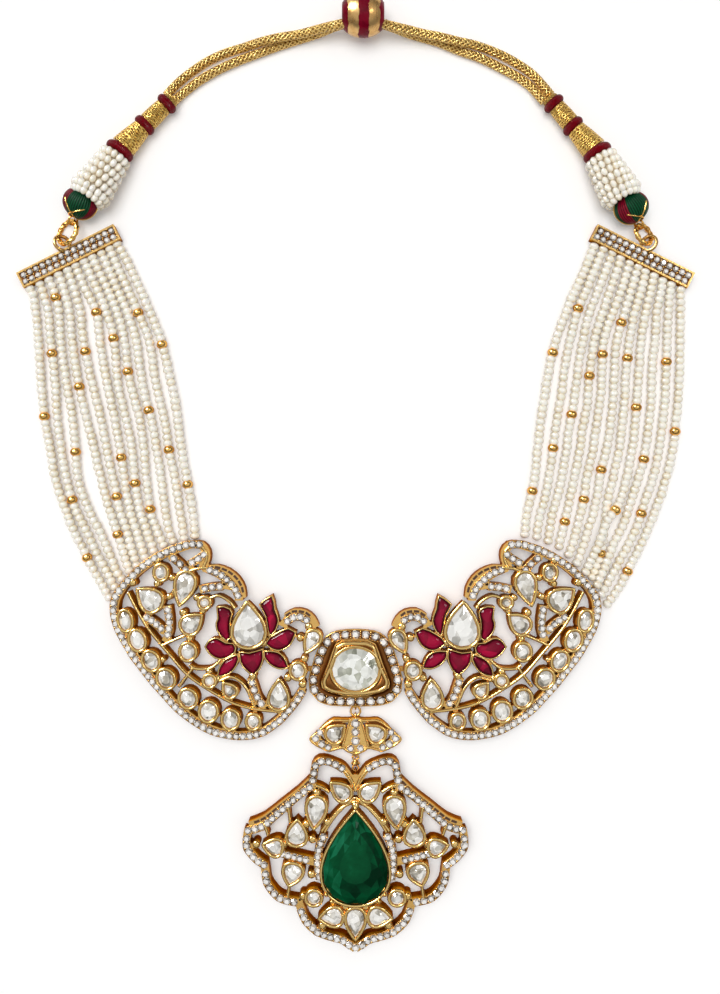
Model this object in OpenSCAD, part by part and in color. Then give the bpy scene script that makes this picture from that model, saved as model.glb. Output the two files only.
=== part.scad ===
// Kundan necklace laid flat: two jewelled side plaques joined by a small centre plaque,
// a bow piece with a large pear-shaped drop below it, eleven strings of seed pearls on each side,
// stone-set spacer bars, wrapped bindings and two gold back cords through a sliding bead.
// It lies on z = 0, face up, with the drop towards -Y and the sliding bead towards +Y.

/* [Frames] */
// Width of one side plaque
plaque_w = 53.2; // [50:0.1:56]
// Width of the large drop
drop_w = 56; // [53:0.1:60]
// Width of the centre plaque
centre_w = 23.2; // [22:0.1:26]
// Width of the bow piece
bow_w = 22.5; // [21:0.1:25]
// Height of the plaque and drop frames
frame_h = 5; // [4:0.1:7]
// Height of the centre plaque's border
centre_h = 3.4; // [3:0.1:4.5]
// Height of the bow piece
bow_h = 3.6; // [3:0.1:5]
// Width of the stone-set border bands
border_w = 2; // [1.6:0.1:2.4]
// Width of the bare walls outside a stone-set band
wall_w = 1.3; // [0.8:0.1:1.6]
// Width of the plain wires
wire_w = 0.8; // [0.5:0.05:1.1]
// Radius that blends the soldered joints
solder_r = 0.22; // [0.1:0.01:0.3]
// Clear space between the centre plaque and a side plaque
side_gap = 0.3; // [0.2:0.05:1.5]

/* [Stones] */
// Width of the gold wall round a main stone
bezel_w = 0.8; // [0.5:0.05:1]
// Height of that wall above the frame
bezel_rise = 0.6; // [0.3:0.05:1.2]
// Depth of the seats below the top of the frame
seat_d = 1.4; // [0.8:0.05:2]
// Clear space between a stone and its seat
stone_gap = 0.12; // [0.1:0.01:0.2]
// Height of a stone's table above its gold wall
stone_rise = 0.35; // [0.1:0.05:1]
// Width of the table as a share of the stone
table_share = 0.56; // [0.4:0.01:0.75]
// Width of the gold rim round a ruby petal
petal_rim = 0.35; // [0.2:0.05:0.5]
// Height of the large green stone above its gold wall
emerald_rise = 1.9; // [1:0.1:3]
// Height of the centre plaque's inner setting above its border
cushion_rise = 1.3; // [0.6:0.1:2]
// Diameter of the centre plaque's small stones
small_d = 2; // [1.6:0.05:2.2]

/* [Links] */
// Mean radius of an eyelet
eye_r = 0.66; // [0.62:0.01:0.8]
// Radius of an eyelet's wire
eye_wire = 0.25; // [0.2:0.01:0.27]
// Mean radius of the ring between the centre plaque and the bow
bail_r = 1.2; // [1.15:0.05:1.6]
// Radius of the link wires
link_wire = 0.26; // [0.18:0.01:0.28]
// Mean radius of the drop link's rings
hook_r = 0.72; // [0.7:0.01:0.9]
// Length of the drop link's bell
bell_l = 1.3; // [1.1:0.1:2]
// Greatest diameter of the bell
bell_d = 2.4; // [1.6:0.1:2.8]
// Diameter of a hidden link's heads
peg_d = 2.4; // [2:0.1:2.8]
// Thickness of a hidden link
peg_t = 1.6; // [1:0.1:2]
// Clear space round a hidden link
peg_gap = 0.15; // [0.1:0.01:0.25]

/* [Spacer bars] */
// Length of a spacer bar
bar_l = 27.3; // [26:0.1:29]
// Width of a spacer bar
bar_w = 4.2; // [3.8:0.1:4.6]
// Height of a spacer bar
bar_h = 3; // [2.6:0.1:4]
// Wall round the bar's bed of stones
bar_wall = 0.45; // [0.3:0.05:0.8]
// Depth of the bed of stones
bar_bed = 0.5; // [0.3:0.05:1]
// Mean radius of the ring soldered to the bar
bar_eye_r = 1.95; // [1.8:0.05:2.2]
// Radius of that ring's wire
bar_eye_wire = 0.45; // [0.35:0.01:0.5]

/* [Bindings] */
// Diameter of the upper thread ring
ring_top_d = 5.6; // [5:0.1:6.2]
// Diameter of the middle thread ring
ring_mid_d = 5.8; // [5:0.1:6.4]
// Diameter of the lower thread ring
ring_low_d = 7.5; // [6.8:0.1:8]
// Thickness of a thread ring along the binding
ring_t = 2.2; // [1.6:0.1:2.8]
// Diameter of the gold winding at its upper end
wind_top_d = 4.2; // [3.6:0.1:4.8]
// Diameter of the gold winding at its lower end
wind_low_d = 6.4; // [5.6:0.1:6.6]
// Clear space between the pieces of a binding
bind_gap = 0.12; // [0.1:0.01:0.2]
// Diameter of the pearl sleeve at its upper end
sleeve_top_d = 8.4; // [7.8:0.1:8.8]
// Diameter of the pearl sleeve at its lower end
sleeve_low_d = 11.2; // [10.4:0.1:11.8]
// Height of the sleeve's rounded rows
sleeve_bulge = 0.4; // [0.2:0.05:0.6]
// Diameter of the wrapped bead
bead_d = 8.8; // [8.2:0.1:9.4]
// Radius of the twisted loop's wire
loop_wire = 0.54; // [0.45:0.01:0.58]

/* [Strings and cords] */
// Diameter of a string's solid, inside its pearls
string_d = 2; // [1.4:0.05:2.1]
// Diameter of a back cord
cord_d = 2.2; // [1.8:0.05:2.3]
// Diameter of the sliding bead
slider_d = 10.3; // [9.6:0.1:12]
// Length of the sliding bead across the cords
slider_l = 10.4; // [9:0.1:12]
// Diameter of the sliding bead's hole
slider_bore = 5; // [4.8:0.05:5.6]

/* [Hidden] */

GOLD = "goldenrod";
CRYSTAL = "lavender";
RUBY = "crimson";
GREEN = "darkgreen";
PEARL = "ivory";
THREAD = "maroon";

// Routes are counted in quarter millimetres from the middle of the necklace.
route_step = 0.252;
// The plaque's tables divide its width into 213 steps, the others as their names say.
plaque_step = plaque_w / 213;
drop_step = drop_w / 224;
centre_step = centre_w / 93;
bow_step = bow_w / 90;

round_sides = 48;
gem_sides = 16;
inset = 0.05;
bond = 0.1;
seat_z = frame_h - seat_d;
bezel_z = frame_h + bezel_rise;
table_z = bezel_z + stone_rise;
ring_z = 2.4;

// Stations of the two bindings: upper, middle and lower thread ring, end of the sleeve, wrapped bead.
// Columns: x, y.
BINDING_LEFT = [[-188, 417.5], [-210, 396], [-234, 369.5], [-263.5, 323], [-272.5, 317]];
BINDING_RIGHT = [[197.5, 417.5], [216.5, 395], [240, 367.5], [263.5, 321.5], [273, 312.5]];

// How much wider a plaque is than the one that the strings' routes are drawn for.
plaque_stretch = plaque_w / 53.2;
// Routes of the strings of pearls, from the spacer bar to the plaque.
// Columns: x, y and, where one string climbs over another, the lift.
STRINGS_LEFT = [
    [[-326, 234.5], [-322, 223], [-317.5, 183], [-315, 143], [-311, 103], [-305.5, 73], [-300.5, 43],
     [-290.5, 13], [-282.5, -7], [-272.5, -27], [-262.5, -47], [-251, -67], [-247, -74.5]],
    [[-316, 239], [-313, 231], [-308, 211], [-305.5, 183], [-301, 143], [-298.5, 103], [-294.5, 73],
     [-289.5, 43], [-280, 13], [-270, -7], [-258.5, -32], [-250.5, -47], [-241.5, -64]],
    [[-307, 243.5], [-302.5, 233], [-297, 211], [-295.5, 183], [-290, 143], [-283, 103], [-280.5, 74],
     [-277.5, 43], [-267.5, 13], [-257, -7], [-246, -32], [-240, -47], [-234.5, -56]],
    [[-297.5, 248.5], [-292, 233], [-286.5, 211], [-284, 183], [-278, 143], [-269, 103], [-262, 75],
     [-254.5, 43], [-246.5, 13], [-239.5, -7], [-233, -29], [-226.5, -48]],
    [[-288.5, 253], [-281.5, 233], [-275.5, 211], [-272.5, 183], [-264.5, 143], [-254.5, 103],
     [-249.5, 75], [-242.5, 43], [-236, 13], [-229.5, -7], [-224, -27], [-219.5, -42]],
    [[-280.5, 257.5], [-270, 233], [-259.5, 211], [-256, 183], [-249.5, 143], [-241, 103],
     [-236, 75], [-231.5, 43], [-226, 13], [-219.5, -7], [-213.5, -27], [-211, -34.5]],
    [[-272, 262], [-258.5, 233], [-249.5, 211], [-242, 183], [-238.5, 143], [-234.5, 123],
     [-229.5, 103], [-224, 75], [-221, 43], [-216, 13], [-209.5, -7], [-202, -28]],
    [[-263.5, 266], [-248, 233], [-239, 211], [-231.5, 183], [-227.5, 148], [-221, 123],
     [-216, 103], [-212, 75], [-209.5, 43], [-205, 11], [-199, -7], [-192.5, -22.5]],
    [[-254.5, 270], [-238, 233], [-228.5, 211], [-220, 183], [-215, 148], [-210, 123],
     [-204.5, 103], [-199, 73], [-194.5, 43], [-190.5, 13], [-187, -7], [-183, -18.5]],
    [[-246.5, 274.5], [-237.5, 254.5], [-227.5, 233], [-218, 211], [-207, 183], [-200.5, 143],
     [-196, 123], [-191.5, 103], [-187, 74], [-180.5, 43], [-176, 13], [-173, -7], [-172, -15.5]],
    [[-238.5, 279], [-229.5, 263], [-222.5, 248], [-215.5, 233], [-206, 211], [-194.5, 181],
     [-185.5, 143], [-181, 123], [-178, 103], [-174.5, 75], [-169, 43], [-163.5, 13], [-161.5, -7],
     [-161, -13]]];
STRINGS_RIGHT = [
    [[325.5, 233.5], [325.5, 211], [325, 183], [324, 143], [322.5, 118], [320, 93], [317.5, 73],
     [310.5, 43], [302.5, 18], [294.5, -2], [286, -22], [273.5, -46], [265.5, -62], [256, -76],
     [252, -81.5]],
    [[316, 238.5], [313, 211], [312, 183], [310.5, 143], [310, 123], [306.5, 93], [304, 73],
     [297.5, 43], [290, 23], [285, 6], [277.5, -14], [267.5, -32], [260, -47], [249.5, -65], [246, -71.5]],
    [[307.5, 242.5], [305.5, 231], [301.5, 211], [300, 183], [297, 153], [296, 123], [293, 93],
     [289.5, 68], [284.5, 48], [279.5, 33], [273.5, 15], [269, 1], [264, -10], [257, -24, 2],
     [248.5, -45, 4.5], [241, -62, 5]],
    [[299, 247.5], [295.5, 231], [290.5, 211], [286, 183], [284, 153], [281.5, 123], [280, 98],
     [277, 73], [272, 48], [268.5, 33], [263.5, 20, 3], [257.5, 11, 9.2], [251, 4, 9.6], [247, -6, 9.6],
     [243.5, -17, 9.6], [239.5, -26, 9], [235.5, -36, 5], [230, -49, 2]],
    [[290.5, 252], [286, 233], [279.5, 211], [274.5, 183], [271, 153], [269.5, 123], [266.5, 93],
     [264, 73], [258.5, 48], [255, 33], [252, 20], [250.5, 8], [249, -7], [247.5, -20], [245, -33],
     [240.5, -45], [236.5, -54.5]],
    [[283, 256], [276, 233], [269.5, 211], [262, 185], [259.5, 158], [258, 123], [254.5, 93],
     [251, 73], [245, 49], [243, 33], [239, 13], [236, 3], [232, -9], [228.5, -22], [224, -34],
     [221.5, -40.5]],
    [[274.5, 260], [266, 233], [258, 211], [251, 193], [247.5, 173], [246.5, 143], [245, 123],
     [240.5, 93], [237.5, 71], [231, 43], [228.5, 23], [225.5, 11], [221.5, -7], [217.5, -20],
     [213.5, -32]],
    [[265.5, 265], [255, 233], [247.5, 211], [240, 188], [236, 163], [233.5, 141], [232, 118],
     [227, 93], [224.5, 73], [218.5, 43], [214.5, 23], [210, 3], [207, -9], [203.5, -24]],
    [[257, 270], [243, 233], [234.5, 211], [228, 183], [223.5, 158], [219.5, 128], [216.5, 109],
     [213.5, 93], [211, 73], [206, 43], [201.5, 23], [197.5, 11], [195, -2], [193, -18]],
    [[248, 274], [238.5, 251], [231, 233], [222, 212], [215, 183], [210, 158], [206, 128],
     [200, 93], [197.5, 73], [193, 43], [189.5, 23], [185.5, 11], [182.5, -5], [181.5, -14]],
    [[239, 277], [229.5, 253], [220, 233], [211, 211], [201, 183], [194.5, 157], [189, 123],
     [184.5, 93], [182.5, 73], [179, 43], [175, 23], [172, 10], [170, -7], [169.5, -12]]];

// Routes of the two back cords, in millimetres, from the left binding through the sliding bead.
CORD_OUTER = [
    [-47.4, 107.4, 2.6], [-45.3, 110.4, 1.3], [-41.8, 113.4, 1.2], [-37.3, 116.4, 1.2],
    [-32.7, 118.5, 1.2], [-28.2, 119.9, 1.2], [-23.6, 120.8, 2.7], [-19, 121.6, 3.4],
    [-13.9, 122.4, 3.5], [-9, 123.3, 4.5], [-5.2, 123.8, 5.6], [-1.6, 124.1, 6.25],
    [5.4, 124.1, 6.25], [9.1, 123.6, 5.6], [13.1, 123.1, 4.5], [17.1, 122.4, 3.7],
    [21.1, 121.7, 3.6], [25.7, 120.7, 3.2], [29.3, 120.2, 2.5], [33.4, 119.3, 1.5],
    [37.4, 117.7, 1.2], [41, 115.7, 1.2], [44.3, 113.4, 1.2], [47, 110.6, 1.3], [49, 107.6, 2.4]];
CORD_INNER = [
    [-45.8, 105.8, 2.4], [-43.8, 108.1, 1.3], [-39.3, 111.6, 1.2], [-34.2, 114.5, 1.2],
    [-29.2, 116.7, 1.2], [-24.1, 118.6, 1.2], [-19.1, 120.4, 1.2], [-14, 122, 1.2],
    [-9.1, 123.3, 1.9], [-5.2, 124.3, 3.3], [-1.6, 124.8, 4], [5.4, 124.8, 4], [9.1, 124.2, 3.3],
    [13.2, 123.2, 1.9], [17.3, 122.3, 1.2], [21.3, 121.1, 1.2], [26.3, 119.1, 1.2],
    [31.4, 117.3, 1.2], [36.4, 114.9, 1.2], [41.5, 112.1, 1.2], [44.5, 109.7, 1.3],
    [47.4, 105.9, 2.4]];

// Plaque border from its inner top corner round to the last rim stone, then the two lobes.
PLAQUE_BORDER = [
    [103, 183], [106, 191], [106, 199], [101, 205.5], [92, 206], [82, 203], [66, 197.3], [52, 189.3],
    [38, 179], [26, 167], [18, 155.5], [15, 145], [16, 132], [22, 117], [29.5, 103.5], [41.5, 86],
    [55.5, 68.5], [71, 51], [85, 38], [101, 27], [119, 19], [138, 15.5], [153, 16.5], [163, 19.5],
    [176, 28.5], [186, 38.5], [196, 50.5], [203, 61]];
PLAQUE_LOBES = [
    [[104, 183], [115, 178.5], [124, 173], [132, 166], [138, 157], [139, 150]],
    [[183, 124], [188, 132.5], [196, 134.5], [204, 133], [210, 127.5], [212, 119]]];
// Bare walls outside the stones of the two lobes.
PLAQUE_WALLS = [
    [[107, 182.6], [117, 183.3], [128.2, 179.3], [137.2, 171.8], [142.3, 162.5], [143.5, 153]],
    [[185.5, 134.5], [194.5, 139.3], [205.5, 138], [213, 132], [217, 124]]];
// Columns: x, y, width, length, turn of the tip from +Y, 1 for a pear and 0 for an oval.
PLAQUE_STONES = [
    [26, 130, 12, 19, 10, 0], [38, 110.5, 14, 19, 18, 0], [51.5, 90, 14, 18, 25, 0],
    [66.5, 72, 15, 18, 30, 0], [88.5, 52.5, 15, 17, 30, 0], [109, 39.5, 16, 18, 0, 0],
    [131, 31.5, 15, 17, 0, 0], [153.5, 29.5, 11.5, 13, 0, 0],
    [61.5, 178, 11.5, 14, 0, 0], [49.5, 152, 21, 26, 51, 1], [84.5, 162.5, 18, 31, 165, 1],
    [105, 148, 9.5, 9.5, 0, 0], [92.5, 127.5, 17, 22, -50, 1], [88.5, 99, 14, 15.5, 0, 0],
    [110, 70, 10, 10, 0, 0], [129.5, 61, 11, 14, 39, 1], [179, 56, 18, 27, -3, 1],
    [198, 80, 13, 14.5, 0, 0], [211.6, 109.5, 13, 21, 153, 1]];
LOTUS_STONE = [149, 125.5, 31, 42, 3, 1];
RUBY_PETALS = [
    [[160.6, 146.1], [165.6, 150.6], [171.7, 154], [173.6, 148], [174.1, 142.2], [176.5, 136], [178, 130],
     [175.8, 122.2], [173, 117.8], [170, 116], [168.4, 123], [166.7, 133.3], [163.9, 139.4]],
    [[117.8, 143], [124, 143.6], [130, 141.1], [131.7, 137.5], [130, 130], [129.7, 121], [130, 113],
     [126.7, 110.6], [122, 114.5], [117.9, 121], [117.2, 128], [118.9, 132.5]],
    [[105.9, 103.9], [109, 108.6], [113, 111.4], [118.3, 111.7], [126, 107.3], [133.3, 106.7],
     [135.4, 103], [134.6, 99], [130, 94.9], [121.7, 92.4], [115, 94.1], [109.3, 98.8]],
    [[118.6, 75], [119.4, 80.5], [121.5, 85.2], [125, 89.8], [130.5, 93.1], [137.2, 95.6],
     [138.3, 91.5], [136, 85.5], [131.5, 79.6], [125.5, 76.2]],
    [[140.3, 98.2], [149.5, 97.2], [162.2, 100.8], [162.8, 93.3], [161.1, 86.7], [158, 80.8],
     [153.3, 76.1], [148.5, 79.6], [143.9, 84.4], [141.1, 90]],
    [[165, 99], [171, 99.2], [177.5, 98], [182, 95], [185.6, 89.8], [187.8, 83.3], [180.5, 82.6],
     [173.5, 85.1], [168, 89.4], [165, 94.5]],
    [[166.3, 107.2], [170, 112.6], [176, 116.3], [182.8, 120], [188.5, 121.8], [195.2, 118.3],
     [192.4, 110.6], [188.5, 105.2], [182.8, 101.8], [177, 101.1], [171, 103.4]]];
// Wires of a plaque: the long stem, its cross wire, arcs, side wires and the comma round a stone.
PLAQUE_WIRES = [
    [[28, 159], [40, 136], [51, 119], [71, 95], [88, 76], [110, 60.5], [134, 47.5], [158, 41.5], [182, 39]],
    [[79, 64], [88, 76], [93, 83]],
    [[109, 152], [118, 155], [125, 152.5], [131, 148], [135, 142]],
    [[90, 86], [95, 82.5], [102, 81.7], [110, 82.5], [116, 86], [121, 91]],
    [[88, 178.5], [98, 182], [109, 183]],
    [[62, 105], [75, 111], [87, 116]],
    [[124, 163.5], [132, 162]],
    [[201, 74], [205, 67], [203, 60]],
    [[120, 70], [131, 74], [140, 70], [147, 62], [151, 53], [155, 44]]];
// Leaves set with small stones, as bands one border wide.
PLAQUE_LEAVES = [
    [[67.5, 145], [69.5, 132], [69.5, 120], [66, 109]],
    [[46, 134], [56, 127], [65, 119]],
    [[71, 195], [80, 187], [88, 178]],
    [[89, 186], [98, 191], [107, 198]],
    [[100, 161], [111, 163.5], [123, 164]],
    [[151, 73], [154.5, 63], [158, 53], [165, 43]]];
// Solder dots where two pieces meet. Columns: x, y, radius.
PLAQUE_DOTS = [
    [33, 168, 4], [57.5, 167, 3.5], [57, 190, 3.5], [69.5, 154, 3.5], [72, 173, 3.5], [97, 153, 3.5],
    [103, 140, 3.5], [83.5, 138, 4], [90, 112, 3.5], [109.5, 79, 3.5], [117, 72, 4], [153, 74.5, 4],
    [188, 73, 4], [200.5, 113, 4], [204.5, 92, 4], [202.6, 66.5, 4], [209, 124, 4], [75, 158, 3.5],
    [124, 98, 4], [164, 108, 4], [63, 91, 3], [47, 145, 3]];

// Half of the drop, mirrored about x = 0. Its origin is the bottom tip.
DROP_SCROLL = [
    [44, 168], [41, 176], [41, 187], [36, 192.5], [28, 192], [20, 189], [12, 185], [6, 177], [0, 168]];
DROP_BANDS = [
    [[40, 170], [57, 157.5], [80, 137.5], [94, 126], [107, 123]],
    [[107, 124], [108.5, 114], [107, 104.5], [99, 94.5], [90, 88]],
    [[91, 90], [89.5, 80], [88, 70.5], [82.5, 62], [76.5, 56], [69, 53], [57, 51]],
    [[57, 52], [54, 44], [50, 33], [38.5, 22], [22, 16], [13, 14], [0, 5]]];
DROP_WALL = [[45, 173], [56.7, 161.8], [74.7, 147.8], [91.2, 135], [106, 129]];
DROP_WIRES = [
    [[34, 122], [24, 135], [13, 146], [0, 152]],
    [[40.5, 168], [34, 166], [26, 161]],
    [[67, 148], [65, 130]],
    [[91, 130], [87, 118]],
    [[40, 178], [42, 165]],
    [[66, 68], [68, 54]]];
DROP_LEAVES = [
    [[77, 101], [61, 96.5], [42, 92]],
    [[31, 118], [34.5, 110.5], [37, 102], [37.8, 93], [37.3, 84], [35.5, 74]]];
DROP_STONES = [
    [15, 162.5, 14.5, 21, -50, 1], [39.5, 141.5, 18, 29, 187, 1], [58.5, 120.5, 18, 23, 3, 1],
    [82, 106.5, 15, 17, -77, 1], [63, 79.5, 18, 20, 195, 1], [41.5, 56, 13.5, 13, 0, 0],
    [24, 37, 17, 21, -96, 1]];
DROP_TIP_STONE = [0, 31, 18, 28, 180, 1];
EMERALD_STONE = [0, 96, 66, 92, 0, 1];
DROP_DOTS = [
    [0, 174, 5], [28, 131, 4], [38.5, 160, 4], [27, 64, 4.5], [43, 114, 4], [99, 109, 4],
    [44, 79, 4], [22, 53, 4],
    [10, 47, 4], [12, 37, 4], [52, 57, 4], [72, 109, 4], [49, 129, 4], [6, 152, 4], [33, 28, 4]];
// Claws of the green stone. Columns: x, y.
DROP_CLAWS = [[29.2, 61], [23.4, 54.1]];
// Side view of the green stone. Columns: share of its outline, share of the rise above its gold wall.
EMERALD_RISE = [[1, 0.12], [0.93, 0.5], [0.78, 0.82], [0.6, 1]];

// Half outlines of the centre plaque and of its raised inner setting. Their origin is the lower edge.
CENTRE_OUTLINE = [
    [0, 76], [18.5, 74.5], [30.5, 68], [38.5, 54], [43.5, 38], [46.5, 24], [44.5, 13], [35.5, 4.5],
    [20.5, 1], [0, 0]];
CUSHION_OUTLINE = [
    [12, 64.5], [19.3, 61], [22.3, 52.7], [25.4, 42.7], [30.2, 31.8], [33.3, 24.3], [32, 18.5],
    [25, 14.5], [11, 11.5]];
CENTRE_STONE = [0, 37, 43, 47, 90, 0];
CENTRE_SMALL_COUNT = 25;
CUSHION_TOP_SHARE = 0.86;

// Half of the bow piece. Its origin is the bottom tip.
BOW_LEAF = [[0, 36], [5, 35], [8, 26], [11, 15], [12.5, 8], [8, 3], [0, 0]];
BOW_TIP = [
    [30, 27.5], [34.5, 25], [39.5, 20.5], [45.2, 14.7], [40.5, 9.7], [34.7, 6.6], [27.2, 3.2], [22.5, 4],
    [26, 9.5], [32, 12.2], [35, 16], [33.5, 21.5]];
BOW_WIRES = [[[4, 33], [14.5, 33], [22.2, 33.3], [28.8, 29], [33, 24.5]], [[8, 6], [13.8, 6.2], [24, 6]]];
BOW_STONE = [19.5, 21, 15.5, 19, 48, 1];

// A smooth line through the points p, with k pieces to each span.
function curve(p, k = 2) = [
    for (i = [0:len(p) - 2])
        let (a = p[max(i - 1, 0)], b = p[i], c = p[i + 1], d = p[min(i + 2, len(p) - 1)])
            for (j = [0:i == len(p) - 2 ? k : k - 1])
                let (t = j / k)
                    0.5 * (2 * b + t * (c - a) + t * t * (2 * a - 5 * b + 4 * c - d)
                        + t * t * t * (3 * b - a - 3 * c + d))];

function unit(v) = v / norm(v);

// Direction of the line p at its point i.
function heading(p, i) = unit(p[min(i + 1, len(p) - 1)] - p[max(i - 1, 0)]);

// One edge of a band that follows p, at the distance side.
function edge(p, side) = [
    for (i = [0:len(p) - 1])
        let (t = heading(p, i))
            p[i] + side * [-t.y, t.x]];

function reversed(p) = [for (i = [len(p) - 1:-1:0]) p[i]];

function steps(p, step) = [for (q = p) step * [q.x, q.y]];

// A closed outline from its half with x >= 0, which runs from top to bottom.
function mirrored(p) = concat(p, [for (q = reversed(p)) if (q.x > 0) [-q.x, q.y]]);

// Outline of a stone: an oval, or a pear with its tip towards +Y.
function stone_outline(w, h, pear, n) = [
    for (i = [0:n - 1])
        let (a = 360 * i / n)
            [-w / 2 * sin(a) * (pear == 1 ? abs(sin(a / 2)) / 0.77 : 1), h / 2 * cos(a)]];

function spun(p, turn) = [
    for (q = p) [q.x * cos(turn) - q.y * sin(turn), q.x * sin(turn) + q.y * cos(turn)]];

function moved(p, d) = [for (q = p) q + d];

// Outline of the stone in one row of a table, grown by grow all round.
function row_outline(row, step, grow, n) =
    let (flat = stone_outline(row[2] * step + 2 * grow, row[3] * step + 2 * grow, row[5], n))
        moved(spun(flat, row[4]), step * [row.x, row.y]);

function at_height(p, z) = [for (q = p) [q.x, q.y, z]];

function lengths(p) = [for (i = [1:len(p) - 1]) norm(p[i] - p[i - 1])];

function total(v, n) = n <= 0 ? 0 : v[n - 1] + total(v, n - 1);

// The point at the distance s along p.
function along(p, s, v, i = 0) =
    i >= len(v) - 1 || s <= v[i] ? p[i] + (p[i + 1] - p[i]) * s / v[i] : along(p, s - v[i], v, i + 1);

// A solid through rings of points that all run the same way round.
module loft(rings) {
    n = len(rings[0]);
    m = len(rings);
    polyhedron(
        points = [for (r = rings, p = r) p],
        faces = concat(
            [[for (j = [0:n - 1]) j]],
            [for (i = [0:m - 2], j = [0:n - 1])
                [i * n + j, (i + 1) * n + j, (i + 1) * n + (j + 1) % n, i * n + (j + 1) % n]],
            [[for (j = [n - 1:-1:0]) (m - 1) * n + j]]));
}

// A round tube with eight sides along the points p.
module tube(p, d) {
    loft([
        for (i = [0:len(p) - 1])
            let (t = heading(p, i), side = unit(cross([0, 0, 1], t)), up = cross(t, side))
                [for (j = [0:7]) p[i] + d / 2 * (cos(45 * j) * side + sin(45 * j) * up)]]);
}

// A flat band of the width w along the points p.
module band(p, w) {
    polygon(concat(edge(p, w / 2), reversed(edge(p, -w / 2))));
}

module dot(x, y, r) {
    translate([x, y]) circle(r, $fn = 14);
}

// A faceted stone from z0 up to the top of its gold wall, with a flat table above it.
module gem(row, step, z0, z1, z2, n = gem_sides) {
    middle = step * [row.x, row.y];
    wide = row_outline(row, step, -stone_gap, n);
    small = [for (q = wide) middle + table_share * (q - middle)];
    loft([at_height(wide, z0), at_height(wide, z1), at_height(small, z2)]);
}

// The seats of the stones of some rows, seen from above.
module seats(rows, step, n = gem_sides) {
    for (row = rows) polygon(row_outline(row, step, 0, n));
}

// The gold walls round the stones of some rows, from z0 to z1.
module bezels(rows, step, z0, z1, n = gem_sides) {
    translate([0, 0, z0])
        linear_extrude(z1 - z0)
            offset(delta = -inset)
                difference() {
                    for (row = rows) polygon(row_outline(row, step, bezel_w, n));
                    seats(rows, step, n);
                }
}

// A ring of round wire at c: its plane holds the direction along and is rolled about it.
module wire_ring(c, along_angle, roll, r, wire) {
    translate(c)
        rotate([0, 0, along_angle])
            rotate([roll, 0, 0])
                rotate_extrude($fn = round_sides) translate([r, 0]) circle(wire, $fn = 20);
}

// Places of the frames, from the lower edge of the centre plaque downwards.
centre_y = -45.8;
plaque_root = -centre_w / 2 - side_gap;
plaque_x = plaque_root - 207.8 * plaque_step;
plaque_y = centre_y - 11;
eye_out = 0.45 * eye_r;
bow_top = centre_y - 2 * eye_out - 2 * bail_r;
bow_y = bow_top - 36 * bow_step;
hook_y = bow_y - eye_out;
bell_y = hook_y - 2 * hook_r;
drop_eye_y = bell_y - bell_l - 2 * hook_r;
drop_y = drop_eye_y - eye_out - 179 * drop_step;

// Places of the spacer bars.
bar_place = [-72.1, 67];
bar_turn = 26.7;
bar_eye_out = bar_w / 2 + 0.8 * bar_eye_r;
// The frame is centred between its lowest and its highest piece.
top_turn = atan2(BINDING_LEFT[0].y - BINDING_LEFT[1].y, BINDING_LEFT[0].x - BINDING_LEFT[1].x);
top_y = BINDING_LEFT[0].y * route_step + ring_top_d / 2 * abs(cos(top_turn));
bottom_y = drop_y + 5 * drop_step - border_w / 2;
middle_y = (top_y + bottom_y) / 2;

module laid() {
    translate([0, -middle_y, 0]) children();
}

module on_side(side) {
    mirror([side > 0 ? 1 : 0, 0, 0]) children();
}

// A string hangs from its bar, and its foot follows the plaque when the plaque's width changes.
module string(route) {
    side = route[0].x < 0 ? -1 : 1;
    root = [-side * plaque_root, plaque_y];
    head = route[0].y;
    foot = route[len(route) - 1].y;
    color(PEARL)
        laid()
            tube([
                for (p = route)
                    let (q = [p.x * route_step, p.y * route_step], t = (head - p.y) / (head - foot),
                         r = q + t * (plaque_stretch - 1) * (q - root))
                        [r.x, r.y, string_d / 2 + (len(p) > 2 ? p[2] * route_step : 0)]],
                string_d);
}

module back_cord(route) {
    color(GOLD) laid() tube(route, cord_d);
}

// The sliding bead lies on the floor, with its hole along X and low on the bead.
module slider_bead() {
    color(THREAD)
        laid()
            translate([1.9, 126.4, slider_d / 2])
                difference() {
                    intersection() {
                        sphere(d = slider_d * 1.06, $fn = round_sides);
                        rotate([90, 0, 0])
                            cylinder(h = slider_l, d = slider_d, center = true, $fn = round_sides);
                    }
                    translate([0, -1.5, 0])
                        rotate([0, 90, 0])
                            cylinder(h = 2 * slider_d, d = slider_bore, center = true, $fn = round_sides);
                }
}

// Stations of a binding in millimetres, each lying on the floor.
function station(stops, i) =
    let (d = [ring_top_d, ring_mid_d, ring_low_d, sleeve_low_d, bead_d])
        [stops[i].x * route_step, stops[i].y * route_step, d[i] / 2 + inset];

// Turns its children from +Z to the line from a to b, and moves them to a.
module from_to(a, b) {
    v = b - a;
    translate(a) rotate([0, acos(v.z / norm(v)), atan2(v.y, v.x)]) children();
}

module thread_ring(a, b, d) {
    round_r = ring_t / 2;
    from_to(a, b)
        rotate_extrude($fn = round_sides)
            union() {
                translate([0, -round_r]) square([d / 2 - round_r, ring_t]);
                translate([d / 2 - round_r, 0])
                    intersection() {
                        circle(round_r, $fn = 24);
                        translate([-inset, -round_r]) square(2 * round_r);
                    }
            }
}

module thread_rings(stops) {
    color(THREAD)
        laid() {
            thread_ring(station(stops, 0), station(stops, 1), ring_top_d);
            thread_ring(station(stops, 1), station(stops, 2), ring_mid_d);
            thread_ring(station(stops, 2), station(stops, 3), ring_low_d);
        }
}

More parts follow.
